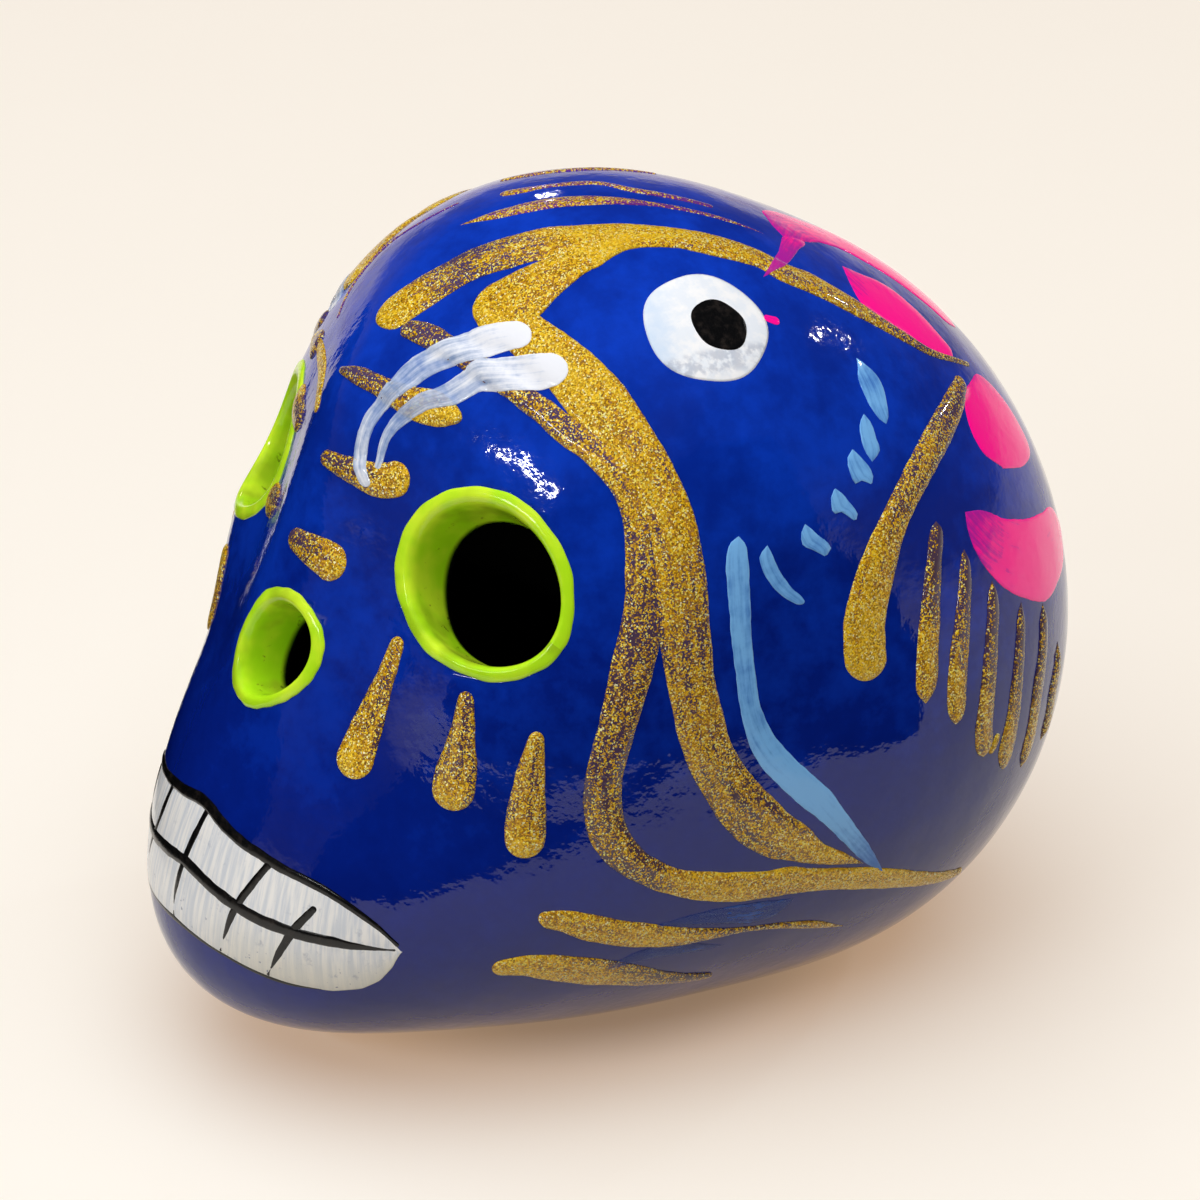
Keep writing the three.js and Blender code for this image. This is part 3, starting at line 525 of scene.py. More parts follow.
def build_disc(name, disc, radius, material, mirror):
    """A painted disc: rings from its crowned middle to its ragged edge and back underneath."""
    azimuth, elevation, taller, crown, lift, seed = disc
    slip = SIDE_SLIP if mirror else 0.0
    steps = 72
    angle = np.linspace(0, 2 * np.pi, steps, endpoint=False)
    middle = slip_away(aim(azimuth, elevation)[None], slip)
    place, normal = surface_at(middle)
    side = unit(np.cross(np.array([0.0, 0.0, 1.0]), normal[0]))
    up = np.cross(normal[0], side)
    ragged = 1 + 0.03 * np.sin(angle * 2 + seed) + 0.02 * np.sin(angle * 5 + 2 * seed)
    shares = np.concatenate([np.linspace(0.1, 0.9, 9), [0.96, 1.0, 1.0, 0.9, 0.5]])
    tops = np.array([1] * 10 + [0, 0, 0, 0])
    rises = crown * (1 - shares**4) ** 0.5 * tops + lift * tops
    rises[11:] = -PAINT_FOOT
    flat_x = shares[:, None] * (radius * ragged * np.cos(angle))[None, :]
    flat_y = shares[:, None] * (radius * taller * ragged * np.sin(angle))[None, :]
    rows = place[0] + flat_x[..., None] * side + flat_y[..., None] * up
    feet, normals = surface_at(rows - HEART)
    rings = feet + normals * rises[:, None, None]
    poles = np.stack([place[0] + normal[0] * (crown + lift), place[0] - normal[0] * PAINT_FOOT])
    points = np.concatenate([rings.reshape(-1, 3), poles])
    flat = np.stack(np.broadcast_arrays(flat_x, flat_y, np.ones_like(flat_x)), -1).reshape(-1, 3)
    attribute = np.concatenate([flat, [[0, 0, 1], [0, 0, 1]]])
    quads = grid_faces(len(shares), steps, wrap_columns=True)[:, ::-1]
    fans = np.concatenate([
        fan_faces(0, steps, len(points) - 2),
        fan_faces((len(shares) - 1) * steps, steps, len(points) - 1, turned=True),
    ])
    return put_mesh(name, points, quads, fans, material, attribute, mirror)


# The mouth, in degrees from the heart: azimuths from the midline, and the elevation of the edges of the
# white band and of its middle line there.
MOUTH_HALF = 27.6
MOUTH_AZIMUTHS = (0.0, 4.0, 8.0, 12.0, 16.0, 20.0, 23.0, 25.0, 26.5, 27.6)
MOUTH_TOP = (-11.6, -12.4, -13.1, -13.8, -14.7, -16.0, -17.4, -18.5, -19.7, -21.7)
MOUTH_LOW = (-22.3, -22.6, -23.1, -24.0, -25.0, -25.8, -25.8, -25.1, -23.8, -21.7)


def mouth_lines(azimuth):
    """The elevations of the top and the bottom of the mouth, rounded at its ends."""
    place = np.abs(azimuth)
    return np.interp(place, MOUTH_AZIMUTHS, MOUTH_TOP), np.interp(place, MOUTH_AZIMUTHS, MOUTH_LOW)


def build_tooth_paint(material):
    """The white band: azimuth along and height across, crowned a little between thin edges."""
    along = np.sin(np.linspace(-np.pi / 2, np.pi / 2, 121))
    azimuth = along * MOUTH_HALF
    across = np.sin(np.linspace(-np.pi / 2, np.pi / 2, 25))
    top, low = mouth_lines(azimuth)
    middle = (top + low) / 2
    half = (top - low) / 2
    half = half * np.sqrt(np.clip(1 - np.abs(along) ** 24, 0, 1))
    elevation = middle[:, None] + half[:, None] * across[None, :]
    rays = aim(azimuth[:, None], elevation)
    feet, normals = surface_at(rays)
    dome = 0.14 * (1 - across**8) ** 0.5
    ends = np.sqrt(np.clip(1 - np.abs(along) ** 16, 0, 1))
    upper = feet + normals * (dome[None, :] * ends[:, None])[..., None]
    lower = (feet - normals * PAINT_FOOT)[:, ::-1]
    rings = np.concatenate([upper, lower[:, 1:-1]], 1)[1:-1]
    count, around = rings.shape[:2]
    points = np.concatenate([rings.reshape(-1, 3), feet[[0, -1], 12]])
    ring_across = np.concatenate([across, across[::-1][1:-1]])
    spread = np.stack(np.broadcast_arrays(azimuth[1:-1, None], ring_across, 1.0), -1)
    attribute = np.concatenate([spread.reshape(-1, 3), [[-MOUTH_HALF, 0, 1], [MOUTH_HALF, 0, 1]]])
    quads = grid_faces(count, around, wrap_columns=True)
    fans = np.concatenate([
        fan_faces(0, around, len(points) - 2, turned=True),
        fan_faces((count - 1) * around, around, len(points) - 1),
    ])
    return put_mesh("tooth_paint", points, quads, fans, material, attribute)


# The strokes. A stroke has two edges, low and high, as azimuths and elevations in degrees, or a path and
# its widths in millimetres. The cover is how thickly paint or flakes lie along it, and the node is the
# one that it stands for where that isn't its own name. The last keys are for the right-hand copy alone:
# how far it slips and turns away from the midline, and which span of it is painted.
GOLD_STROKES = {
    "crown_sweep": {
        "high": [(-9.4, 49.5), (-8.4, 52.9), (-5.4, 59.2), (-2.9, 63.1), (1.9, 66.6), (7.0, 69.3),
                 (13.2, 71.6), (21.7, 73.3), (31.3, 74.9), (42.7, 76.0), (55.6, 76.5), (69.1, 76.4),
                 (82.1, 75.6), (93.5, 74.1), (105.6, 70.6), (110.4, 67.8), (118.0, 64.7), (122.1, 61.0),
                 (125.6, 57.5), (127.3, 54.2), (130.1, 50.3), (133.7, 45.2), (143.0, 38.3)],
        "low": [(-2.2, 48.1), (0.7, 49.7), (2.5, 52.3), (5.9, 57.2), (9.7, 60.7), (15.3, 63.3),
                (21.2, 65.6), (38.0, 66.2), (44.1, 69.4), (49.4, 71.1), (59.0, 71.9), (69.2, 71.9),
                (78.7, 70.9), (87.8, 69.6), (97.0, 67.7), (100.6, 65.4), (108.7, 62.1), (114.7, 59.1),
                (119.2, 55.9), (122.9, 53.2), (126.8, 49.6), (131.6, 44.8), (141.9, 37.9)],
        "cover": [1.25, 0.9, 0.45, 0.62, 0.95, 1.25, 1.1, 0.95, 0.85, 0.8, 0.7, 0.6, 0.55, 0.5, 0.5],
        "slip": SIDE_SLIP,
        "span": (0.27, 1.0),
    },
    "crown_branch": {
        "node": "crown_sweep",
        "low": [(24.5, 67.5), (21.2, 65.6), (18.1, 63.5), (15.6, 61.6), (13.2, 59.3), (13.3, 57.2),
                (14.7, 55.6), (17.1, 54.6), (21.0, 53.8)],
        "high": [(47.0, 70.6), (44.1, 69.4), (38.0, 66.2), (34.3, 63.3), (32.1, 60.9), (30.2, 57.9),
                 (27.5, 56.0), (24.5, 54.6), (21.0, 53.8)],
        "cover": [1.1, 1.0, 0.9, 1.0, 1.1],
        "slip": SIDE_SLIP,
    },
    "temple_sweep": {
        "node": "crown_sweep",
        "low": [(15.0, 57.5), (17.1, 54.6), (23.5, 53.3), (30.0, 51.5), (36.8, 49.0), (42.1, 45.6),
                (46.4, 43.0), (50.4, 40.0), (53.3, 36.6), (55.1, 33.1), (56.1, 29.6), (56.7, 25.3),
                (57.2, 21.0), (57.8, 17.3), (58.5, 13.6), (59.7, 7.6), (60.8, 2.4), (62.5, -2.7),
                (65.2, -8.2), (68.0, -13.0), (71.6, -16.9), (75.4, -19.6), (78.8, -20.8), (82.6, -22.2),
                (92.5, -24.2)],
        "high": [(15.0, 57.5), (21.0, 59.0), (30.2, 57.9), (38.9, 55.8), (44.2, 54.0), (49.5, 51.3),
                 (53.1, 48.5), (57.8, 43.4), (60.0, 40.5), (61.6, 37.8), (62.9, 35.0), (63.7, 32.3),
                 (64.4, 28.9), (65.0, 24.2), (65.2, 20.6), (65.7, 14.9), (66.1, 11.2), (67.2, 6.6),
                 (68.8, 0.7), (71.3, -4.1), (74.9, -8.7), (78.6, -13.0), (81.9, -15.8), (84.4, -18.9),
                 (88.1, -21.1), (92.5, -24.2)],
        "cover": [1.15, 1.1, 1.15, 1.1, 0.95, 0.9, 0.85, 0.75, 0.72, 0.72, 0.7, 0.7, 0.55, 0.85,
                  1.1, 0.4],
        "slip": SIDE_SLIP,
    },
    "brow_sweep": {
        "high": [(1.2, 51.3), (7.6, 52.3), (13.7, 52.0), (23.8, 50.8), (33.7, 48.6), (37.7, 47.4),
                 (41.8, 45.9), (47.6, 43.6), (51.6, 40.6), (54.5, 37.2), (56.3, 33.7), (57.3, 29.6),
                 (57.8, 25.3), (58.1, 20.9), (57.9, 17.3), (57.3, 14.9), (56.7, 12.1), (55.5, 8.1),
                 (54.1, 2.7), (53.1, -1.4), (52.9, -5.6), (53.7, -9.6), (55.5, -12.9), (58.0, -15.4),
                 (61.1, -17.6), (66.2, -19.5), (71.5, -21.0), (75.2, -21.8), (78.9, -22.0), (84.7, -23.5),
                 (92.7, -25.0), (100.3, -27.2), (119.9, -33.6)],
        "low": [(2.1, 49.0), (9.8, 49.2), (18.0, 48.7), (28.1, 47.0), (32.6, 45.7), (35.5, 44.7),
                (41.0, 42.2), (43.7, 41.2), (46.9, 39.5), (49.5, 37.5), (51.2, 35.4), (52.1, 33.3),
                (52.6, 29.5), (52.7, 25.3), (52.7, 22.4), (52.0, 18.6), (51.2, 15.0), (50.0, 7.8),
                (49.0, 3.2), (48.1, -1.4), (47.9, -5.5), (48.6, -9.9), (50.3, -13.3), (53.2, -16.4),
                (56.5, -19.0), (61.3, -22.0), (66.4, -24.4), (71.9, -26.1), (77.7, -26.9), (85.7, -27.9),
                (94.3, -29.7), (102.4, -31.5), (119.9, -35.0)],
        "cover": [0.35, 0.35, 0.4, 0.6, 0.75, 0.72, 0.62, 0.5, 0.48, 0.5, 0.55, 0.6, 0.9, 1.0, 1.0,
                  1.15, 1.2, 1.1, 0.8],
        "slip": SIDE_SLIP,
        "span": (0.09, 1.0),
    },
    "brow_upper": {
        "high": [(-6.0, 42.1), (0.8, 43.6), (6.5, 43.9), (12.1, 44.5), (15.3, 45.1), (19.6, 44.6),
                 (22.6, 43.3)],
        "low": [(-6.0, 41.3), (1.0, 41.2), (5.7, 41.3), (9.3, 40.9), (14.2, 40.6), (18.8, 41.0),
                (22.4, 42.2)],
        "cover": [0.4, 0.45, 0.5, 0.95, 1.2],
        "turn": 6.0,
        "slip": BROW_SLIP,
        "span": (0.7, 1.0),
    },
    "brow_lower": {
        "path": [(0.7, 31.7), (6.5, 31.8), (11.6, 32.2), (16.3, 33.9)],
        "widths": [1.6, 2.6, 3.7, 4.1],
        "cover": [0.4, 0.5, 0.8, 1.15],
        "turn": 9.0,
        "span": (0.36, 1.0),
    },
    "nose_stroke": {
        "path": [(-1.0, 20.5), (4.7, 20.2), (9.7, 19.5)],
        "widths": [2.0, 3.7, 4.7],
        "cover": [0.35, 0.6, 1.15],
        "turn": 10.0,
        "span": (0.4, 1.0),
    },
    "tear_inner": {
        "path": [(20.8, 13.6), (19.9, 7.7), (18.9, 1.7), (18.2, -4.4)],
        "widths": [1.8, 2.5, 3.9, 4.7],
        "cover": [0.85, 0.7, 0.75, 1.15],
        "turn": 9.0,
        "span": (0.35, 1.0),
    },
    "tear_middle": {
        "path": [(32.5, 9.4), (32.5, 4.4), (31.9, -2.2), (31.4, -6.0)],
        "widths": [1.6, 2.7, 4.5, 4.9],
        "cover": [0.6, 0.65, 0.7, 1.1],
        "turn": 5.0,
    },
    "tear_outer": {
        "path": [(42.0, 5.2), (41.2, -1.5), (40.8, -8.3), (40.9, -11.9)],
        "widths": [1.4, 3.0, 4.2, 4.4],
        "cover": [0.9, 0.75, 0.75, 1.1],
    },
    "jaw_upper": {
        "high": [(42.4, -19.0), (45.2, -19.4), (49.3, -21.0), (53.6, -23.3), (57.2, -25.0), (61.8, -27.3),
                 (68.7, -30.1), (74.7, -31.9), (81.0, -33.2), (88.0, -35.2), (94.6, -38.4)],
        "low": [(42.8, -21.2), (45.2, -22.4), (47.8, -24.4), (52.1, -26.9), (56.7, -29.0), (61.7, -30.7),
                (67.1, -31.5), (72.8, -32.4), (79.2, -34.0), (88.7, -36.9), (94.6, -38.4)],
        "cover": [0.9, 0.9, 0.95, 0.7, 0.55, 0.75, 0.8],
    },
    "jaw_lower": {
        "path": [(36.9, -25.8), (41.3, -26.8), (46.1, -29.3), (52.8, -33.3), (60.8, -38.6), (68.9, -42.3)],
        "widths": [2.0, 4.0, 4.6, 3.6, 2.2, 1.0],
        "cover": [1.1, 1.0, 0.85, 0.6, 0.5, 0.4],
    },
    "neck_stroke": {
        "low": [(135.4, 39.8), (122.0, 39.3), (110.1, 36.6), (102.5, 33.2), (96.5, 29.4), (91.2, 24.4),
                (88.4, 19.7), (87.2, 15.8), (87.0, 11.5), (87.4, 7.2)],
        "high": [(134.6, 37.4), (126.5, 35.9), (114.4, 33.0), (106.5, 30.0), (100.8, 26.2), (97.6, 21.7),
                 (95.2, 17.3), (94.3, 14.1), (93.9, 9.2), (93.4, 6.4)],
        "cover": [0.4, 0.45, 0.5, 0.6, 0.75, 0.9, 1.1, 1.25],
        "slip": SIDE_SLIP,
    },
    "drip_front": {
        "low": [(107.9, 26.0), (106.1, 25.2), (103.6, 21.1), (101.4, 16.7), (99.5, 10.8), (98.6, 5.8),
                (98.7, 2.9), (100.0, 1.0)],
        "high": [(107.9, 26.0), (108.4, 24.4), (105.9, 19.1), (104.0, 13.3), (102.6, 7.3), (101.9, 3.3),
                 (100.0, 1.0)],
        "cover": [0.1, 0.2, 0.4, 0.75, 0.8, 0.85],
        "slip": SIDE_SLIP,
    },
    "drip_middle": {
        "low": [(115.4, 14.4), (114.1, 13.1), (112.4, 9.2), (110.6, 3.4), (109.4, -2.7), (109.0, -6.8),
                (110.0, -9.9), (111.3, -10.7)],
        "high": [(115.4, 14.4), (115.7, 11.7), (114.4, 7.1), (113.1, 1.2), (112.4, -5.0), (112.7, -9.1),
                 (111.3, -10.7)],
        "cover": [0.15, 0.3, 0.55, 0.65, 0.8],
        "slip": SIDE_SLIP,
    },
    "drip_back": {
        "low": [(126.9, 6.3), (125.2, 4.0), (123.9, -0.5), (122.5, -3.8), (121.9, -10.1), (121.7, -14.6),
                (122.7, -16.9)],
        "high": [(126.9, 6.3), (127.2, 3.1), (125.7, -3.8), (124.8, -8.7), (124.6, -13.9),
                 (122.7, -16.9)],
        "cover": [0.2, 0.4, 0.6, 0.8],
        "slip": SIDE_SLIP,
    },
}
EXTRA_GOLD = {
    "drip_second": {
        "low": [(111.6, 20.5), (110.4, 19.6), (108.3, 15.7), (106.1, 10.8), (104.3, 5.5), (103.7, 0.4),
                (104.1, -2.3), (105.2, -3.7)],
        "high": [(111.6, 20.5), (111.8, 18.3), (109.9, 12.6), (107.9, 5.6), (107.1, 0.7), (106.6, -2.3),
                 (105.2, -3.7)],
        "cover": [0.1, 0.3, 0.5, 0.8, 0.85],
    },
    "drip_fourth": {
        "low": [(120.9, 9.1), (119.4, 7.5), (118.2, 4.4), (116.5, -1.3), (115.5, -6.9), (114.7, -11.2),
                (115.7, -13.8), (116.9, -14.8)],
        "high": [(120.9, 9.1), (120.7, 5.9), (119.9, 2.5), (119.1, -2.4), (118.6, -8.2), (118.3, -12.1),
                 (116.9, -14.8)],
        "cover": [0.15, 0.35, 0.6, 0.85],
    },
    "drip_last": {
        "low": [(131.5, -1.4), (130.4, -4.7), (128.8, -7.9), (128.7, -11.8), (128.9, -15.3)],
        "high": [(131.5, -1.4), (133.0, -5.9), (132.0, -9.3), (131.8, -13.2), (128.9, -15.3)],
        "cover": [0.3, 0.6, 0.7],
    },
    "drip_join": {
        "path": [(113.9, -7.9), (113.4, -9.4), (112.5, -10.6)],
        "widths": [0.9, 1.0, 0.9],
        "cover": [1.0, 1.0],
    },
}
CROWN_LINES = {
    "crown_line_front": {
        "high": [(-18.0, 64.7), (-11.7, 74.1), (-7.1, 77.0), (1.8, 79.6), (14.7, 81.6), (46.7, 83.0),
                 (87.6, 81.9), (112.0, 78.2), (123.0, 73.0)],
        "low": [(-18.0, 64.7), (-9.4, 69.2), (-2.7, 72.9), (3.4, 75.5), (12.7, 77.8), (23.7, 79.7),
                (48.3, 81.6), (83.9, 81.0), (108.6, 77.7), (123.0, 73.0)],
        "cover": [0.8, 0.75, 0.6, 0.5, 0.45, 0.4, 0.4],
    },
    "crown_line_middle": {
        "high": [(-34.1, 70.8), (-31.5, 74.1), (-30.4, 77.2), (-30.5, 80.4), (-26.9, 83.5), (20.0, 86.6),
                 (100.0, 85.6), (125.0, 81.0)],
        "low": [(-27.7, 70.8), (-25.4, 74.0), (-25.1, 77.2), (-22.1, 80.2), (-15.8, 83.3), (30.0, 85.2),
                (88.0, 84.6), (119.0, 80.6)],
        "cover": [0.6, 0.55, 0.45, 0.4, 0.4, 0.35],
    },
    "crown_line_back": {
        "path": [(-55.9, 68.8), (-58.2, 72.9), (-65.4, 76.3), (-85.8, 79.5), (-130.0, 80.5)],
        "widths": [1.0, 1.6, 1.6, 1.2, 0.8],
        "cover": [0.5, 0.6, 0.5, 0.4],
    },
    "brow_line_far": {
        "path": [(-38.5, 65.1), (-37.9, 60.1), (-38.9, 54.4), (-36.3, 50.4), (-31.5, 46.9),
                 (-26.0, 44.6)],
        "widths": [0.5, 0.7, 0.7, 0.8, 0.6],
        "cover": [0.3, 0.35, 0.4, 0.4],
    },
    "brow_bead_far": {
        "path": [(-28.4, 40.0), (-20.1, 39.9), (-14.2, 38.9), (-10.2, 37.3), (-6.7, 35.6)],
        "widths": [1.2, 1.8, 2.0, 1.8, 1.2],
        "cover": [0.9, 1.0, 1.0, 0.8],
        "finish": "glitter_gold",
    },
}
MILK_STROKES = {
    "milk_outer": {
        "high": [(29.4, 56.6), (26.5, 56.3), (21.0, 55.1), (16.4, 53.2), (12.5, 50.7), (9.4, 48.4),
                 (7.6, 45.7), (6.9, 43.1), (6.3, 41.0), (5.6, 38.5), (5.8, 35.4), (7.0, 32.6),
                 (9.4, 30.4)],
        "low": [(31.6, 53.4), (28.9, 53.0), (25.3, 51.9), (21.2, 50.1), (17.6, 48.7), (14.4, 46.9),
                (12.4, 45.0), (10.7, 42.9), (9.2, 41.1), (8.3, 39.2), (8.0, 36.2), (8.8, 33.5),
                (10.8, 31.2)],
        "cover": [1.1, 0.85, 0.65, 0.55, 0.5, 0.55, 0.6, 0.7],
        "span": (0.0, 0.26),
    },
    "milk_inner": {
        "high": [(38.9, 53.4), (34.5, 53.0), (29.4, 52.2), (25.3, 51.3), (21.2, 50.1), (18.9, 48.0),
                 (16.6, 45.9), (13.6, 44.0), (11.5, 41.8), (10.1, 39.6), (9.7, 36.8), (10.2, 33.4)],
        "low": [(41.0, 50.0), (36.5, 48.7), (31.8, 47.8), (27.8, 47.2), (24.5, 46.7), (22.4, 45.4),
                (20.0, 44.0), (16.3, 42.5), (13.8, 40.7), (12.3, 39.1), (11.3, 37.3), (11.3, 33.4)],
        "cover": [1.1, 0.85, 0.7, 0.6, 0.5, 0.5, 0.5, 0.6],
        "span": (0.0, 0.26),
    },
}
SKY_STROKES = {
    "sky_stroke": {
        "node": "sky_stroke",
        "low": [(70.2, 31.2), (68.8, 30.4), (68.1, 28.7), (68.0, 24.9), (68.3, 21.0), (68.8, 15.5),
                (69.4, 10.8), (70.1, 6.1), (71.5, 0.2), (73.7, -4.2), (76.6, -7.9), (79.9, -11.4),
                (83.7, -15.0), (87.7, -19.1), (92.5, -24.0), (96.8, -26.6)],
        "high": [(70.2, 31.2), (71.2, 30.2), (71.5, 28.5), (71.7, 24.6), (71.7, 20.6), (72.0, 15.1),
                 (72.6, 10.3), (73.7, 4.8), (76.1, 0.1), (78.9, -3.6), (82.1, -7.0), (85.5, -10.8),
                 (88.7, -15.5), (92.4, -20.4), (96.8, -26.6)],
        "cover": [0.8, 0.75, 0.72, 0.72, 0.78, 0.95, 0.9, 0.6, 0.35],
    },
    "sky_hook": {
        "low": [(74.9, 29.6), (73.5, 28.3), (73.9, 26.2), (75.2, 24.2), (77.2, 22.1), (79.7, 20.5)],
        "high": [(74.9, 29.6), (75.5, 28.6), (76.6, 26.2), (78.4, 23.5), (80.1, 22.0), (81.1, 20.7)],
        "cover": [0.75, 0.65, 0.7],
    },
    "sky_dab_top": {
        "low": [(107.6, 51.2), (106.5, 50.1), (104.6, 48.8), (103.8, 46.4), (103.6, 44.2), (104.4, 42.4),
                (105.6, 41.3)],
        "high": [(107.6, 51.2), (108.9, 50.0), (110.2, 48.2), (110.2, 46.0), (108.7, 44.0), (107.0, 42.0),
                 (105.6, 41.3)],
        "cover": [0.8, 0.6, 0.8, 0.6],
    },
    "sky_dab_second": {
        "low": [(101.1, 43.8), (98.9, 42.7), (97.9, 40.7), (97.9, 38.9), (98.6, 37.3)],
        "high": [(101.1, 43.8), (101.8, 42.5), (101.6, 40.0), (101.4, 38.4), (98.6, 37.3)],
        "cover": [0.7, 0.85, 0.55],
    },
    "sky_dab_third": {
        "low": [(95.1, 39.8), (93.5, 39.1), (92.9, 37.0), (93.6, 35.1), (95.0, 35.4), (96.8, 34.5)],
        "high": [(95.1, 39.8), (96.1, 38.6), (97.4, 37.1), (97.8, 35.5), (97.3, 34.7), (96.8, 34.5)],
        "cover": [0.8, 0.7, 0.75],
    },
    "sky_dab_fourth": {
        "low": [(89.0, 35.4), (87.9, 34.6), (87.7, 32.1), (89.0, 32.2), (91.5, 30.5)],
        "high": [(89.0, 35.4), (90.5, 34.2), (92.4, 31.4), (92.4, 30.6), (91.5, 30.5)],
        "cover": [0.75, 0.75],
    },
    "sky_dab_fifth": {
        "low": [(82.0, 31.6), (81.2, 30.6), (81.1, 28.8), (82.3, 28.2), (84.9, 26.7)],
        "high": [(82.0, 31.6), (84.1, 29.9), (86.1, 28.0), (86.2, 27.1), (84.9, 26.7)],
        "cover": [0.75, 0.7],
    },
}
SKY_FILMS = {
    "sky_film_upper": {
        "high": [(57.5, -25.4), (66.5, -25.9), (73.9, -27.0), (81.2, -28.3)],
        "low": [(57.5, -25.4), (66.7, -28.5), (74.5, -31.0), (78.4, -30.7), (81.2, -28.3)],
        "cover": [0.3, 0.6, 0.7, 0.6],
    },
    "sky_film_lower": {
        "high": [(50.5, -30.5), (56.7, -29.3), (62.0, -30.5), (64.9, -31.7), (69.7, -34.1)],
        "low": [(50.5, -30.5), (55.1, -31.4), (58.4, -31.8), (65.1, -33.4), (69.7, -34.1)],
        "cover": [0.4, 0.6, 0.6, 0.5],
    },
}
PETALS = {
    "petal_upper": {
        "low": [(139.9, 61.7), (142.3, 59.1), (146.1, 55.7), (147.1, 52.3), (145.7, 49.3), (144.0, 46.1),
                (142.4, 43.6), (141.4, 41.9), (139.4, 41.2)],
        "high": [(139.9, 61.7), (133.3, 60.3), (128.2, 58.3), (125.8, 56.3), (126.4, 54.5), (127.9, 52.3),
                 (129.0, 50.1), (132.2, 47.0), (134.8, 44.1), (139.4, 41.2)],
        "cover": [0.6, 0.9, 1.0, 0.95],
    },
    "petal_middle": {
        "low": [(137.3, 37.9), (131.3, 37.2), (126.8, 34.2), (125.7, 30.1), (128.9, 26.1)],
        "high": [(146.4, 35.1), (146.2, 31.2), (146.0, 26.3), (144.1, 22.5), (136.2, 23.1),
                 (128.7, 26.0)],
        "cover": [0.7, 1.0, 1.0, 0.9],
    },
    "petal_lower": {
        "low": [(114.6, 25.0), (118.4, 23.8), (122.4, 21.0), (127.7, 18.5), (133.8, 16.5), (141.6, 14.0),
                (146.7, 9.0)],
        "high": [(114.6, 25.0), (113.8, 22.9), (113.7, 19.9), (114.8, 16.4), (117.6, 12.5), (122.4, 8.8),
                 (128.5, 6.0), (135.0, 6.0), (141.5, 6.4), (146.7, 9.0)],
        "cover": [0.45, 0.8, 1.0, 0.9, 0.8],
    },
    "petal_band": {
        "low": [(132.7, 70.8), (139.1, 72.6), (150.0, 73.6), (161.2, 73.6), (170.0, 70.5), (174.0, 65.0),
                (176.0, 58.5), (176.0, 52.5), (173.5, 46.5), (166.5, 41.5), (157.0, 39.0)],
        "high": [(132.7, 70.8), (140.4, 68.1), (151.6, 64.4), (156.1, 60.3), (156.1, 56.6), (156.1, 52.8),
                 (155.5, 49.0), (154.7, 45.1), (154.2, 41.5), (157.0, 39.0)],
        "cover": [0.5, 0.7, 0.8, 0.9, 0.9],
    },
    "petal_twig": {
        "node": "petal_band",
        "low": [(136.5, 71.3), (119.5, 70.1), (105.1, 68.3), (95.5, 66.2)],
        "high": [(143.3, 67.1), (129.0, 68.2), (116.1, 67.6), (107.0, 66.9), (95.5, 66.2)],
        "cover": [0.7, 0.5, 0.35, 0.3],
    },
    "petal_speck": {
        "node": None,
        "path": [(86.4, 59.8), (90.4, 58.8)],
        "widths": [0.9, 1.2],
        "cover": [0.7, 0.8],
    },
}
LINE_STROKES = {
    "upper": {
        "path": [(-27.2, -21.0), (-24.7, -18.6), (-19.4, -15.6), (-11.9, -13.8), (-5.0, -12.4),
                 (0.0, -11.7), (5.0, -12.6), (11.9, -13.8), (19.4, -15.6), (24.7, -18.6), (27.2, -21.0)],
        "widths": [0.5, 0.8, 1.0, 1.1, 1.3, 1.4, 1.3, 1.1, 1.0, 0.8, 0.5],
    },
    "middle": {
        "path": [(-26.4, -21.0), (-20.0, -20.2), (-12.2, -19.0), (-4.6, -17.7), (0.0, -17.2), (4.6, -17.7),
                 (12.2, -19.0), (20.0, -20.2), (27.0, -21.4)],
        "widths": [0.5, 1.3, 1.5, 1.5, 1.5, 1.5, 1.5, 1.4, 0.5],
    },
    "lower": {
        "path": [(-22.0, -25.7), (-16.0, -25.0), (-8.0, -23.1), (0.0, -22.3), (8.0, -23.1), (16.0, -25.0),
                 (21.0, -25.7)],
        "widths": [0.2, 0.5, 0.4, 0.6, 0.4, 0.45, 0.2],
    },
    "first": {"path": [(0.9, -11.9), (-0.5, -17.0), (-0.8, -19.8), (-0.5, -22.3)]},
    "second": {"path": [(11.9, -13.8), (8.9, -18.4), (7.4, -22.9)]},
    "third": {"path": [(18.2, -16.9), (15.9, -19.6), (13.2, -24.2)]},
    "fourth": {"path": [(-8.0, -12.9), (-9.2, -17.6), (-10.0, -19.4), (-10.6, -22.4)]},
    "fifth": {"path": [(-16.4, -15.0), (-17.4, -19.4), (-17.6, -24.4)]},
    "sixth": {"path": [(-22.6, -17.4), (-23.4, -21.0), (-23.2, -25.2)]},
}


# Nodes of a material, written as expressions.
class Wire:
    """A varying value in a material or in the room. Arithmetic on it adds Math nodes."""

    def __init__(self, paint, socket):
        self.paint = paint
        self.socket = socket

    def math(self, operation, first, second):
        return self.paint.node("ShaderNodeMath", {"operation": operation}, {0: first, 1: second})

    def __add__(self, other):
        return self.math("ADD", self, other)

    __radd__ = __add__

    def __mul__(self, other):
        return self.math("MULTIPLY", self, other)

    __rmul__ = __mul__

    def __sub__(self, other):
        return self.math("SUBTRACT", self, other)

    def __rsub__(self, other):
        return self.math("SUBTRACT", other, self)

    def __gt__(self, other):
        return self.math("GREATER_THAN", self, other)


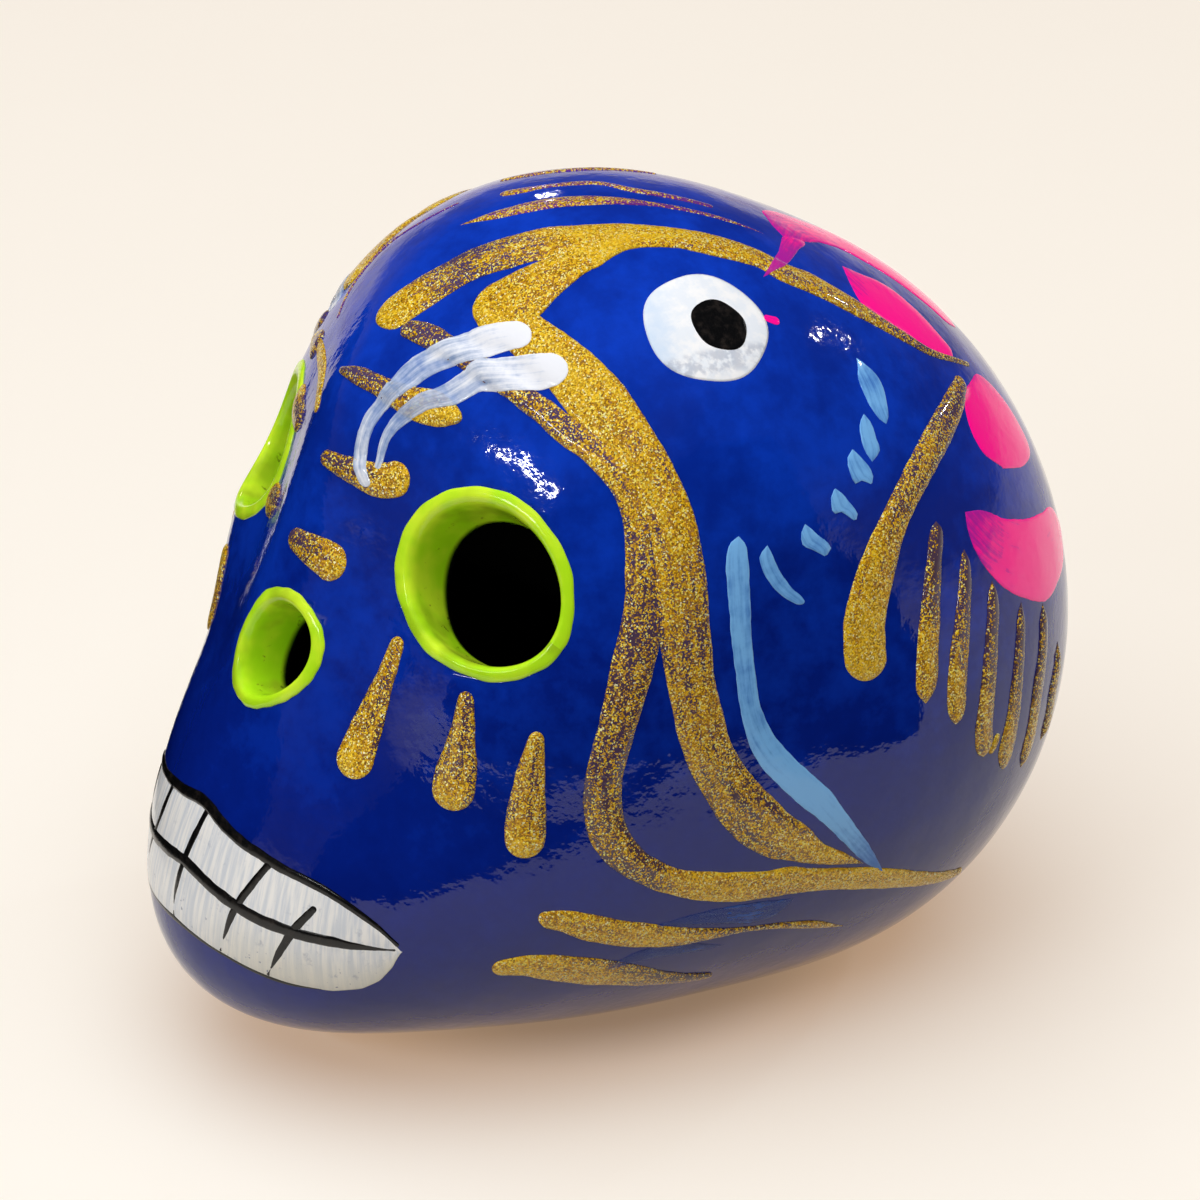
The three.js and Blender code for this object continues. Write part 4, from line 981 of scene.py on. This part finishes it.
class Nodes:
    """The nodes of a material or of the room, and the shader that they feed."""

    def __init__(self, owner, shader):
        owner.use_nodes = True
        self.tree = owner.node_tree
        self.shader = self.tree.nodes[shader]

    def node(self, kind, settings, sockets, output=0):
        """Adds a node of a kind, with its settings first and then the values or links of its sockets."""
        made = self.tree.nodes.new(kind)
        for key, value in settings.items():
            if key == "stops":
                for stop, (where, colour) in zip(self.ramp_stops(made, len(value)), value):
                    stop.position = where
                    stop.color = colour
            else:
                setattr(made, key, value)
        for key, value in sockets.items():
            if isinstance(value, Wire):
                self.tree.links.new(value.socket, made.inputs[key])
            else:
                made.inputs[key].default_value = value
        return Wire(self, made.outputs[output])

    def ramp_stops(self, made, count):
        elements = made.color_ramp.elements
        while len(elements) < count:
            elements.new(0.5)
        return elements

    def vector(self, operation, first, second=None):
        """Vector Math. The second part is a number for a scale, and a length or a unit vector has none."""
        sockets = {0: first}
        if second is not None:
            sockets["Scale" if operation == "SCALE" else 1] = second
        output = "Value" if operation == "LENGTH" else 0
        return self.node("ShaderNodeVectorMath", {"operation": operation}, sockets, output)

    def split(self, wire, kind="XYZ"):
        """The three parts of a vector or a colour."""
        made = self.node(f"ShaderNodeSeparate{kind}", {}, {0: wire}).socket.node
        return [Wire(self, made.outputs[index]) for index in range(3)]

    def feed(self, **sockets):
        """Sets or links the sockets of the shader."""
        for key, value in sockets.items():
            socket = self.shader.inputs[key.replace("_", " ")]
            if isinstance(value, Wire):
                self.tree.links.new(value.socket, socket)
            else:
                socket.default_value = value


class Paint(Nodes):
    """A material under construction."""

    def __init__(self, name):
        self.material = bpy.data.materials.new(name)
        super().__init__(self.material, "Principled BSDF")
        place = self.node("ShaderNodeTexCoord", {}, {}, "Object")
        self.place = self.vector("SCALE", place, 1 / MM)

    def ramp(self, value, *stops):
        """A colour from stops, each a place from 0 to 1 and a colour as the screen shows it."""
        colours = [(place, linear(colour)) for place, colour in stops]
        return self.node("ShaderNodeValToRGB", {"stops": colours}, {0: value})

    def mix(self, share, first, second):
        """A colour between two colours."""
        sockets = {"Factor": share, 6: first, 7: second}
        return self.node("ShaderNodeMix", {"data_type": "RGBA"}, sockets, 2)

    def step(self, value, low, high):
        """Zero below a range, one above it and smooth between."""
        return self.node(
            "ShaderNodeMapRange",
            {"interpolation_type": "SMOOTHSTEP"},
            {"Value": value, "From Min": low, "From Max": high},
        )

    def noise(self, size, detail=2.0, roughness=0.5, vector=None):
        """Noise whose patches are about a size in millimetres."""
        return self.node(
            "ShaderNodeTexNoise",
            {},
            {"Vector": vector or self.place, "Scale": 1 / size, "Detail": detail, "Roughness": roughness},
        )

    def attribute(self):
        """The piece's own paint attribute, whole and as its three parts."""
        vector = self.node("ShaderNodeAttribute", {"attribute_name": "paint"}, {}, "Vector")
        return vector, self.split(vector)

    def bump(self, height, reach, normal=None):
        """A normal from a height of 0 to 1 that stands for a reach in millimetres."""
        sockets = {"Strength": 1.0, "Distance": reach * MM, "Height": height}
        if normal is not None:
            sockets["Normal"] = normal
        return self.node("ShaderNodeBump", {}, sockets)

    def finish(self, **sockets):
        """Feeds the surface shader and gives the material."""
        self.feed(**sockets)
        return self.material


BLACK = (0.0, 0.0, 0.0, 1.0)


def linear(colour):
    """A colour written as the screen shows it, from 0 to 255, as a shader's colour."""
    parts = np.asarray(colour, float) / 255
    parts = np.where(parts <= 0.04045, parts / 12.92, ((parts + 0.055) / 1.055) ** 2.4)
    return (*parts.tolist(), 1.0)


def blue_ground_and_painted_shade(paint):
    """The blue ground: ultramarine in brushed patches, with painted shade that makes it deeper towards the
    table and paler up on the crown.
    """
    broad = paint.noise(14.0, 3.0)
    fine = paint.noise(2.2, 4.0, 0.6)
    height = paint.split(paint.place)[2]
    patch = paint.step(broad * 0.65 + fine * 0.35, 0.34, 0.66)
    # Painted shade: the blue is darker low down and lighter high up, as the light falls from above.
    share = patch * 0.35 + paint.step(height, 0.0, 90.0) * 0.65
    return paint.ramp(share, (0.0, (4, 24, 112)), (0.5, (5, 33, 134)), (1.0, (12, 62, 196)))


def varnish_normal(paint):
    """The varnish lies in slow waves, with an orange peel of small dimples."""
    slow = paint.noise(9.0, 1.0)
    small = paint.noise(1.2, 2.0)
    return paint.bump(small, 0.038, paint.bump(slow, 0.3))


def varnished(paint, **sockets):
    """Finishes a material that lies under the varnish."""
    return paint.finish(Normal=varnish_normal(paint), Specular_IOR_Level=VARNISH_GLOSS, **sockets)


def clay_material():
    """Blue paint outside; inside, the bare clay of the hollow painted near black, as painted shade."""
    paint = Paint("clay_blue")
    _, (inside, _, _) = paint.attribute()
    outside = blue_ground_and_painted_shade(paint)
    # Painted shade: the hollow's clay is given a near-black colour for the dark inside.
    hollow = paint.mix(paint.noise(3.0), linear((9, 7, 7)), linear((18, 13, 11)))
    colour = paint.mix(inside, outside, hollow)
    rough = inside * 0.75 + paint.noise(5.0) * 0.06 + 0.03
    return varnished(paint, Base_Color=colour, Roughness=rough)


def glitter_material(name, glue, glue_share, thick, rich):
    """Gold flakes in clear glue: cells of the size of a flake, each gold or bare and tilted its own way.
    The flakes lie in streaks along the stroke, and where they are thick the gaps between them are gold
    too. The palest flakes, near white, are painted glints."""
    paint = Paint(name)
    vector, (_, _, cover) = paint.attribute()
    sockets = {"Vector": paint.place, "Scale": 1 / FLAKE_SIZE}
    cells = paint.node("ShaderNodeTexVoronoi", {"feature": "F1"}, sockets, "Color")
    chance, shade, spark = paint.split(cells, "Color")
    along = paint.vector("MULTIPLY", vector, (0.1, 0.8, 0.0))
    streaks = paint.noise(1.0, 2.0, 0.5, along)
    clumps = paint.noise(1.1, 2.0)
    density = cover * 1.1 - 0.12 + (clumps - 0.5) * 0.6 + (streaks - 0.5) * 1.5
    flake = (density - chance) > 0.0
    # The palest stops of this ramp, near white, are painted glints: sparkle given as colour.
    flake_golds_and_glints = paint.ramp(
        shade,
        (0.0, (118, 82, 10)),
        (0.3, (188, 134, 6)),
        (0.55, (232, 176, 8)),
        (0.76, (250, 208, 30)),
        (0.9, (255, 242, 120)),
        (1.0, (255, 254, 214)),
    )
    under = paint.mix(glue_share, blue_ground_and_painted_shade(paint), linear(glue))
    body = paint.mix(paint.step(density, 0.55, 1.05), under, linear(thick))
    flake_golds_and_glints = paint.mix(paint.step(density, 0.9, 1.4) * 0.4, flake_golds_and_glints, linear(rich))
    colour = paint.mix(flake, body, flake_golds_and_glints)
    tilt = paint.vector("SUBTRACT", cells, (0.5, 0.5, 0.5))
    tilt = paint.vector("SCALE", paint.vector("SCALE", tilt, 0.9), flake)
    tilted = paint.vector("ADD", varnish_normal(paint), tilt)
    return paint.finish(
        Base_Color=colour,
        Metallic=flake * spark * 0.12,
        Roughness=flake * 0.25 + 0.08,
        Normal=paint.vector("NORMALIZE", tilted),
        Coat_Weight=0.2,
        Coat_Roughness=0.05,
        Specular_IOR_Level=VARNISH_GLOSS,
    )


def enamel_material():
    """Lime enamel with painted shade: patches dulled to a darker green-yellow round one part of the
    outline, dark smudges down the wall that are partly real smudges and partly painted shade, and near
    black where the wall meets the hollow.
    """
    paint = Paint("lime_enamel")
    _, (angle, depth, _) = paint.attribute()
    pool = paint.step(paint.noise(4.0, 2.0), 0.35, 0.65)
    colour = paint.mix(pool, linear((186, 242, 30)), linear((218, 252, 50)))
    # Painted shade: patches round one part of the outline are dulled to a darker green-yellow.
    olive_shade = paint.step(paint.noise(5.0, 2.0, 0.5), 0.5, 0.7) * paint.step(angle, 1.4, 2.0)
    colour = paint.mix(olive_shade * 0.5, colour, linear((142, 172, 30)))
    # Dark smudges only down the wall, growing with depth: partly real smudges, partly painted shade.
    smudge = paint.step(paint.noise(1.2, 3.0, 0.7), 0.62, 0.7) * paint.step(depth, 0.8, 2.2)
    colour = paint.mix(smudge * 0.6, colour, linear((30, 44, 14)))
    # Painted shade: the wall turns near black where it meets the hollow.
    deep_wall_shade = paint.step(depth, SHELL_WALL - 0.5, SHELL_WALL + 0.3)
    colour = paint.mix(deep_wall_shade, colour, linear((8, 10, 6)))
    return varnished(paint, Base_Color=colour, Roughness=0.14)


def tooth_material():
    """White enamel with brush marks that run up and down, grey and blue smudges and a little cream."""
    paint = Paint("tooth_white")
    vector, (azimuth, across, _) = paint.attribute()
    marks = paint.noise(1.0, 3.0, 0.6, paint.vector("MULTIPLY", vector, (2.0, 0.8, 1.0)))
    colour = paint.mix(paint.step(marks, 0.35, 0.65), linear((222, 226, 232)), linear((252, 250, 246)))
    cream = paint.step(0.1 - across, 0.0, 1.0) * paint.step(azimuth, 0.0, 14.0)
    colour = paint.mix(cream * 0.7, colour, linear((228, 222, 204)))
    smudge = paint.step(paint.noise(1.8, 4.0, 0.7), 0.58, 0.74)
    colour = paint.mix(smudge * 0.4, colour, linear((134, 142, 164)))
    speck = paint.step(paint.noise(0.7, 2.0, 0.6), 0.68, 0.74) * paint.step(0.0 - across, 0.2, 0.9)
    colour = paint.mix(speck * 0.7, colour, linear((58, 74, 128)))
    return varnished(paint, Base_Color=colour, Roughness=0.16)


def line_material():
    """Black brush paint that thins to a dark brown grey in places."""
    paint = Paint("line_black")
    thin = paint.step(paint.noise(0.9, 3.0, 0.6), 0.45, 0.75)
    colour = paint.mix(thin * 0.6, linear((10, 10, 11)), linear((44, 38, 35)))
    return varnished(paint, Base_Color=colour, Roughness=0.2)


def ring_material():
    """White brushed over blue: a light blue tint to one side and a grey smear under the dot."""
    paint = Paint("ring_white")
    _, (across, up, _) = paint.attribute()
    marks = paint.step(paint.noise(1.6, 3.0, 0.6), 0.38, 0.66)
    colour = paint.mix(marks, linear((238, 243, 250)), linear((252, 252, 253)))
    tint = paint.step(paint.noise(3.0, 2.0) * 3.0 - across * 0.4, 2.4, 4.8)
    colour = paint.mix(tint * 0.6, colour, linear((184, 214, 246)))
    smear = paint.step(0.0 - up, 2.6, 3.6) * paint.step(up + 6.4, 0.0, 1.2)
    smear = smear * paint.step(paint.noise(1.4, 3.0, 0.6), 0.4, 0.6)
    colour = paint.mix(smear * 0.5, colour, linear((150, 160, 182)))
    return varnished(paint, Base_Color=colour, Roughness=0.12)


def brush_material(name, body, thin, streak_low, streak_high, thin_cover, glow=0.0):
    """Brush paint whose streaks follow the stroke. Where it is thin, what lies under it shows. A glow,
    painted light, gives back a share of the paint's own colour."""
    paint = Paint(name)
    vector, (_, _, cover) = paint.attribute()
    streak = paint.noise(1.0, 3.0, 0.6, paint.vector("MULTIPLY", vector, (0.13, 1.8, 0.0)))
    pools = paint.noise(1.6, 3.0, 0.6)
    thick = paint.step(streak * 0.6 + pools * 0.4 + (cover - 0.75) * 0.8, streak_low, streak_high)
    colour = paint.mix(thick, linear(thin), linear(body))
    alpha = thick * (1 - thin_cover) + thin_cover
    return varnished(
        paint,
        Base_Color=colour,
        Roughness=0.12,
        Alpha=alpha * paint.step(cover, 0.0, 0.35),
        # Painted light: a share of the paint's own colour is given back as a glow.
        Emission_Color=paint.mix(glow, BLACK, colour),
        Emission_Strength=1.0,
    )


def length_setting(name, description, default):
    """A length in metres that a user may change."""
    return bpy.props.FloatProperty(name=name, description=description, default=default, unit="LENGTH")


def angle_setting(name, description, degrees):
    """An angle that a user may change, whose default is given in degrees."""
    default = np.radians(degrees)
    return bpy.props.FloatProperty(name=name, description=description, default=default, subtype="ANGLE")


class SkullForm(bpy.types.PropertyGroup):
    shell_detail: bpy.props.IntProperty(
        name="Shell rows", description="Rows of faces from the base to the crown", default=150, min=40
    )
    enamel_lap: length_setting(
        "Enamel lap", "How far the enamel laps onto the face round a socket", 0.0009
    )
    bead_crown: length_setting(
        "Bead crown", "How high a glitter stroke stands over the clay", 0.0004
    )
    film_crown: length_setting(
        "Paint film", "How high a brush stroke stands over what it is painted on", 0.0001
    )
    ring_radius: length_setting("Temple ring", "Radius of the white disc on the temple", 0.0068)
    dot_radius: length_setting("Temple dot", "Radius of the black dot in the white disc", 0.0031)


class SkullStage(bpy.types.PropertyGroup):
    floor_colour: bpy.props.FloatVectorProperty(
        name="Floor",
        description="Colour of the table",
        subtype="COLOR",
        size=3,
        default=linear((255, 248, 237))[:3],
    )
    camera_azimuth: angle_setting(
        "Camera azimuth", "Where the camera stands, from the face towards the left side", 56.0
    )
    camera_elevation: angle_setting("Camera elevation", "How high the camera looks down from", 26.0)
    camera_distance: length_setting(
        "Camera distance", "From the camera to the middle of the skull", 0.45
    )


# The finishes, each with its maker and what it is given. Glitter has the colour of its glue, how much of
# the clay that hides, and the gold of thick and of the thickest places. A brush paint has its body, its
# thin colour, the range of its streaks, how much a thin place still hides, and its glow.
FINISHES = {
    "clay_blue": (clay_material,),
    "glitter_gold": (glitter_material, (96, 68, 16), 0.7, (204, 140, 6), (255, 210, 36)),
    "glitter_rose": (glitter_material, (140, 50, 100), 0.6, (176, 108, 60), (240, 190, 90)),
    "lime_enamel": (enamel_material,),
    "tooth_white": (tooth_material,),
    "line_black": (line_material,),
    "ring_white": (ring_material,),
    "milk_white": (brush_material, (244, 246, 253), (156, 196, 252), 0.12, 0.6, 0.42),
    "sky_blue": (brush_material, (130, 196, 255), (78, 142, 232), 0.2, 0.6, 0.8),
    "sky_film": (brush_material, (44, 96, 186), (24, 66, 160), 0.3, 0.7, 0.45),
    "petal_pink": (brush_material, (255, 12, 140), (190, 30, 160), 0.22, 0.6, 0.75, 0.22),
}

# The materials that are made so far, by the finish's name.
MATERIALS = {}


def material_of(name):
    """The finish of a name, made when it is first needed."""
    if name not in MATERIALS:
        maker, *values = FINISHES[name]
        MATERIALS[name] = maker(name, *values) if values else maker()
    return MATERIALS[name]


# The beads of glitter glue that paint passes over, on the left side and on the right one.
BEADS = {False: [], True: []}

# The start of a piece's name, and whether it is mirrored, for a pair and for what there is one of.
BOTH_SIDES = (("left_", False), ("right_", True))
ONE_PIECE = (("", False),)


def lay_strokes(strokes, sides, suffix, finish, slot, seed, **shape):
    """Builds every stroke of a table. What is given here holds where a stroke doesn't say its own."""
    for number, (name, own) in enumerate(strokes.items()):
        stroke = {"node": name, "finish": finish, **shape, **own}
        material = material_of(stroke["finish"])
        for side, mirror in sides:
            title = f"{side}{name}_{suffix}"
            piece = build_stroke(title, stroke, material, mirror, BEADS[mirror], seed + number)
            nodes = [f"{side}{stroke['node']}"] if stroke["node"] else []
            settle(piece, slot, *nodes)


class SKULL_OT_shell(bpy.types.Operator):
    """Make the clay shell with its sockets"""

    bl_idname = "skull.shell"
    bl_label = "Clay shell"

    def execute(self, context):
        form = context.scene.skull_form
        piece = build_shell(material_of("clay_blue"), form.shell_detail)
        settle(piece, "clay_blue", "face_half", "back_half")
        return {"FINISHED"}


class SKULL_OT_enamel(bpy.types.Operator):
    """Make the lime enamel of the eye sockets and the nose"""

    bl_idname = "skull.enamel"
    bl_label = "Socket enamel"

    def execute(self, context):
        lap = context.scene.skull_form.enamel_lap / MM
        lime = material_of("lime_enamel")
        for name, opening, side, seed in (
            ("left_eye", EYE, 1, 11),
            ("right_eye", EYE, -1, 12),
            ("nose", NOSE, 1, 13),
        ):
            piece = build_enamel(f"{name}_enamel", opening, side, lime, lap, seed)
            settle(piece, "lime_enamel", f"{name}_rim")
        return {"FINISHED"}


class SKULL_OT_teeth(bpy.types.Operator):
    """Make the white band of the teeth and the black lines that rule it"""

    bl_idname = "skull.teeth"
    bl_label = "Teeth"

    def execute(self, context):
        paint = build_tooth_paint(material_of("tooth_white"))
        settle(paint, "tooth_white", *[f"tooth_{number}" for number in range(1, 13)])
        upright = {"widths": [1.0, 1.2, 1.1, 0.5], "cover": [1.0, 1.0], "crown": 0.26, "dome": 0.4}
        for number, (name, line) in enumerate(LINE_STROKES.items()):
            stroke = {**upright, **line}
            title = f"tooth_line_{name}"
            piece = build_stroke(title, stroke, material_of("line_black"), False, [], 40 + number)
            settle(piece, "line_black", "tooth_lines")
        return {"FINISHED"}


class SKULL_OT_beads(bpy.types.Operator):
    """Make the strokes of gold glitter glue"""

    bl_idname = "skull.beads"
    bl_label = "Glitter strokes"

    def execute(self, context):
        crown = context.scene.skull_form.bead_crown / MM
        for side_beads in BEADS.values():
            side_beads.clear()
        gold = ("glitter_gold", "glitter_gold")
        rose = ("glitter_rose", "glitter_gold")
        extra = {"crown": crown, "slip": SIDE_SLIP, "node": None}
        lay_strokes(GOLD_STROKES, BOTH_SIDES, "beads", *gold, 60, crown=crown)
        lay_strokes(EXTRA_GOLD, BOTH_SIDES, "beads", *gold, 90, **extra)
        lay_strokes(CROWN_LINES, ONE_PIECE, "beads", *rose, 95, crown=crown / 2, node=None)
        return {"FINISHED"}


class SKULL_OT_brushwork(bpy.types.Operator):
    """Make the milky and light blue brush strokes and the pink petals"""

    bl_idname = "skull.brushwork"
    bl_label = "Brush strokes"

    def execute(self, context):
        film = context.scene.skull_form.film_crown / MM
        shape = {"crown": film, "dome": 0.25, "over_beads": True}
        milk = {**shape, "slip": SIDE_SLIP}
        sky = {**shape, "slip": SIDE_SLIP, "turn": 1.5, "node": None}
        films = {**shape, "node": None}
        lay_strokes(MILK_STROKES, BOTH_SIDES, "paint", "milk_white", "milk_white", 110, **milk)
        lay_strokes(SKY_STROKES, BOTH_SIDES, "paint", "sky_blue", "sky_blue", 120, **sky)
        lay_strokes(SKY_FILMS, BOTH_SIDES, "paint", "sky_film", "sky_blue", 130, **films)
        lay_strokes(PETALS, ONE_PIECE, "paint", "petal_pink", "petal_pink", 140, **shape)
        return {"FINISHED"}


class SKULL_OT_temple(bpy.types.Operator):
    """Make the white disc and the black dot on each temple"""

    bl_idname = "skull.temple"
    bl_label = "Temple rings"

    def execute(self, context):
        form = context.scene.skull_form
        ring = form.ring_radius / MM
        dot = form.dot_radius / MM
        for side, mirror in BOTH_SIDES:
            piece = build_disc(f"{side}ring_paint", RING, ring, material_of("ring_white"), mirror)
            settle(piece, "milk_white", f"{side}temple_ring")
            piece = build_disc(f"{side}dot_paint", DOT, dot, material_of("line_black"), mirror)
            settle(piece, "line_black", f"{side}temple_dot")
        return {"FINISHED"}


# The lamps: a name, azimuth, elevation and tilt in degrees, distance, width and height in metres, power
# in watts, and whether the varnish mirrors it.
LAMPS = (
    ("top_lamp", 30.0, 80.0, 0.0, 1.5, 2.2, 2.2, 35.0, False),
    ("key_lamp", 17.0, 30.0, 8.0, 0.95, 0.38, 0.018, 1.4, True),
    ("back_lamp", 181.0, 29.5, 0.0, 1.1, 0.04, 0.03, 0.45, True),
    ("side_lamp", -116.0, 24.0, 0.0, 1.1, 0.02, 0.02, 0.14, True),
)

# The black flags that stand where the table's mirror image ends on each side: x, the span along y and
# the height in millimetres.
FLAGS = {
    "flag_left": (121.0, -1500.0, 60.0, 150.0),
    "flag_right": (-75.0, -300.0, -25.0, 90.0),
}

# The table: half its size in millimetres, its darker tone, how much of its red, green and blue is lit
# and takes the shadow, and its bounce onto the skull. The rest of its paleness is a plain glow for what
# looks at the table or mirrors it. Under the skull, inside an oval, the glow fades to a share: a painted
# shadow.
TABLE_HALF = 1600.0
DARKER_TONE = 0.985
LIT_SHARE = np.array([0.55, 0.69, 0.8])
BOUNCE_SHARE = 0.4
SHADOW_OVAL = (1 / 42.0, 1 / 54.0, 0.0)
SHADOW_FADE = (0.4, 0.7)
GLOW_IN_SHADOW = 0.6

# The room that the varnish mirrors: colours from the horizon, 0, to overhead, 1.
ROOM_STOPS = (
    (0.0, (0.7, 0.62, 0.52, 1)),
    (0.1, (0.15, 0.13, 0.11, 1)),
    (0.35, (0.03, 0.03, 0.035, 1)),
)

# The photograph's frame in pixels: its side, the focal length and the shift. The roll is in degrees, and
# the middle of the skull, which camera and lamps look at, is in metres.
PHOTO_SIDE = 1200
FOCAL_LENGTH = 3982
SHIFT = (-7.0, -9.2)
CAMERA_ROLL = -0.6
LOOK_AT = np.array([0.0, 0.0, 0.045])


def look_from(azimuth, elevation, roll, distance):
    """The matrix of what looks at the skull: axes across, up and out, the first two turned by the roll,
    and a place out from the middle."""
    out = aim(azimuth, elevation)
    side = aim(azimuth + 90, 0.0)
    up = np.cross(out, side)
    lean = np.radians(roll)
    axes = (np.cos(lean) * side - np.sin(lean) * up, np.cos(lean) * up + np.sin(lean) * side, out)
    matrix = Matrix(np.stack(axes, -1).tolist()).to_4x4()
    matrix.translation = (out * distance + LOOK_AT).tolist()
    return matrix


class SKULL_OT_stage(bpy.types.Operator):
    """Make the table, the lamps, the surroundings and the camera"""

    bl_idname = "skull.stage"
    bl_label = "Table, lamps and camera"

    def execute(self, context):
        stage = context.scene.skull_stage
        self.table(stage)
        self.flags()
        for lamp in LAMPS:
            self.lamp(context, *lamp)
        self.surround(context)
        self.camera(context, stage)
        context.scene.view_settings.view_transform = "Standard"
        return {"FINISHED"}

    def table(self, stage):
        """The floor, whose glow is seen by camera, mirrored and transmitted rays alone, and fades under
        the skull in a painted shadow.
        """
        paint = Paint("table_cream")
        tone = paint.noise(40.0, 3.0)
        rays = [f"Is {ray} Ray" for ray in ("Camera", "Glossy", "Transmission")]
        camera, glossy, transmitted = [paint.node("ShaderNodeLightPath", {}, {}, ray) for ray in rays]
        shown = camera + glossy + transmitted
        cream = np.array(stage.floor_colour)
        lit = (*cream * LIT_SHARE, 1.0)
        lit_shade = (*cream * DARKER_TONE * LIT_SHARE, 1.0)
        bounce = (*cream * BOUNCE_SHARE, 1.0)
        glow = (*cream * (1 - LIT_SHARE), 1.0)
        shadowed_glow = (*cream * (1 - LIT_SHARE) * GLOW_IN_SHADOW, 1.0)
        # Painted shadow: inside an oval under the skull, the glow fades to a share.
        reach = paint.vector("LENGTH", paint.vector("MULTIPLY", paint.place, SHADOW_OVAL))
        glow = paint.mix(paint.step(reach, *SHADOW_FADE), shadowed_glow, glow)
        floor_paint = paint.finish(
            Base_Color=paint.mix(shown, bounce, paint.mix(tone, lit_shade, lit)),
            Roughness=0.75,
            Emission_Color=paint.mix(shown, BLACK, glow),
            Emission_Strength=1.0,
        )
        rows = np.linspace(-TABLE_HALF, TABLE_HALF, 9)
        grid_x, grid_y = np.meshgrid(rows, rows, indexing="xy")
        points = np.stack([grid_x, grid_y, np.zeros_like(grid_x)], -1).reshape(-1, 3)
        floor = put_mesh("table", points, grid_faces(9, 9), [], floor_paint)

    def lamp(self, context, name, azimuth, elevation, tilt, distance, width, height, power, mirrored):
        """One rectangular lamp that looks at the skull."""
        light = bpy.data.lights.new(name, "AREA")
        light.shape = "RECTANGLE"
        light.size = width
        light.size_y = height
        light.energy = power
        lamp = bpy.data.objects.new(name, light)
        lamp.visible_glossy = mirrored
        lamp.matrix_world = look_from(azimuth, elevation, tilt, distance)
        context.scene.collection.objects.link(lamp)

    def flags(self):
        """Black cards beside the skull that only mirrored rays see, as in a photographer's studio."""
        paint = Paint("flag_black")
        black = paint.finish(Base_Color=linear((3, 3, 4)), Roughness=1.0, Specular_IOR_Level=0.0)
        for name, (x, front, back, height) in FLAGS.items():
            points = np.array([(x, front, 0.0), (x, back, 0.0), (x, back, height), (x, front, height)])
            card = put_mesh(name, points, [[0, 1, 2, 3]], [], black)
            for kind in ("camera", "diffuse", "transmission", "volume_scatter", "shadow"):
                setattr(card, f"visible_{kind}", False)

    def surround(self, context):
        """A soft room: a cream band at the horizon and darkness overhead."""
        world = bpy.data.worlds.new("room")
        room = Nodes(world, "Background")
        height = room.split(room.node("ShaderNodeTexCoord", {}, {}, "Generated"))[2]
        colour = room.node("ShaderNodeValToRGB", {"stops": ROOM_STOPS}, {0: height})
        room.feed(Color=colour, Strength=1.0)
        context.scene.world = world

    def camera(self, context, stage):
        """The camera at the photograph's angle. Its shift puts the skull where the frame has it."""
        lens = bpy.data.cameras.new("camera")
        lens.sensor_width = 36.0
        lens.lens = 36.0 * FOCAL_LENGTH / PHOTO_SIDE
        lens.shift_x = SHIFT[0] / PHOTO_SIDE
        lens.shift_y = SHIFT[1] / PHOTO_SIDE
        lens.clip_end = 20.0
        camera = bpy.data.objects.new("camera", lens)
        azimuth = np.degrees(stage.camera_azimuth)
        elevation = np.degrees(stage.camera_elevation)
        camera.matrix_world = look_from(azimuth, elevation, CAMERA_ROLL, stage.camera_distance)
        context.scene.collection.objects.link(camera)
        context.scene.camera = camera


class SKULL_PT_panel(bpy.types.Panel):
    bl_label = "Sugar skull"
    bl_space_type = "VIEW_3D"
    bl_region_type = "UI"
    bl_category = "Skull"

    def draw(self, context):
        layout = self.layout
        for group in (context.scene.skull_form, context.scene.skull_stage):
            for key in group.bl_rna.properties.keys():
                if key not in ("rna_type", "name"):
                    layout.prop(group, key)
        for operator in OPERATORS:
            layout.operator(operator.bl_idname)


OPERATORS = (
    SKULL_OT_stage,
    SKULL_OT_shell,
    SKULL_OT_enamel,
    SKULL_OT_teeth,
    SKULL_OT_beads,
    SKULL_OT_brushwork,
    SKULL_OT_temple,
)
CLASSES = (SkullForm, SkullStage, *OPERATORS, SKULL_PT_panel)


def register():
    for entry in CLASSES:
        bpy.utils.register_class(entry)
    bpy.types.Scene.skull_form = bpy.props.PointerProperty(type=SkullForm)
    bpy.types.Scene.skull_stage = bpy.props.PointerProperty(type=SkullStage)


def unregister():
    del bpy.types.Scene.skull_stage
    del bpy.types.Scene.skull_form
    for entry in reversed(CLASSES):
        bpy.utils.unregister_class(entry)


def main():
    register()
    for operator in OPERATORS:
        group, name = operator.bl_idname.split(".")
        getattr(getattr(bpy.ops, group), name)()


if __name__ == "__main__":
    main()
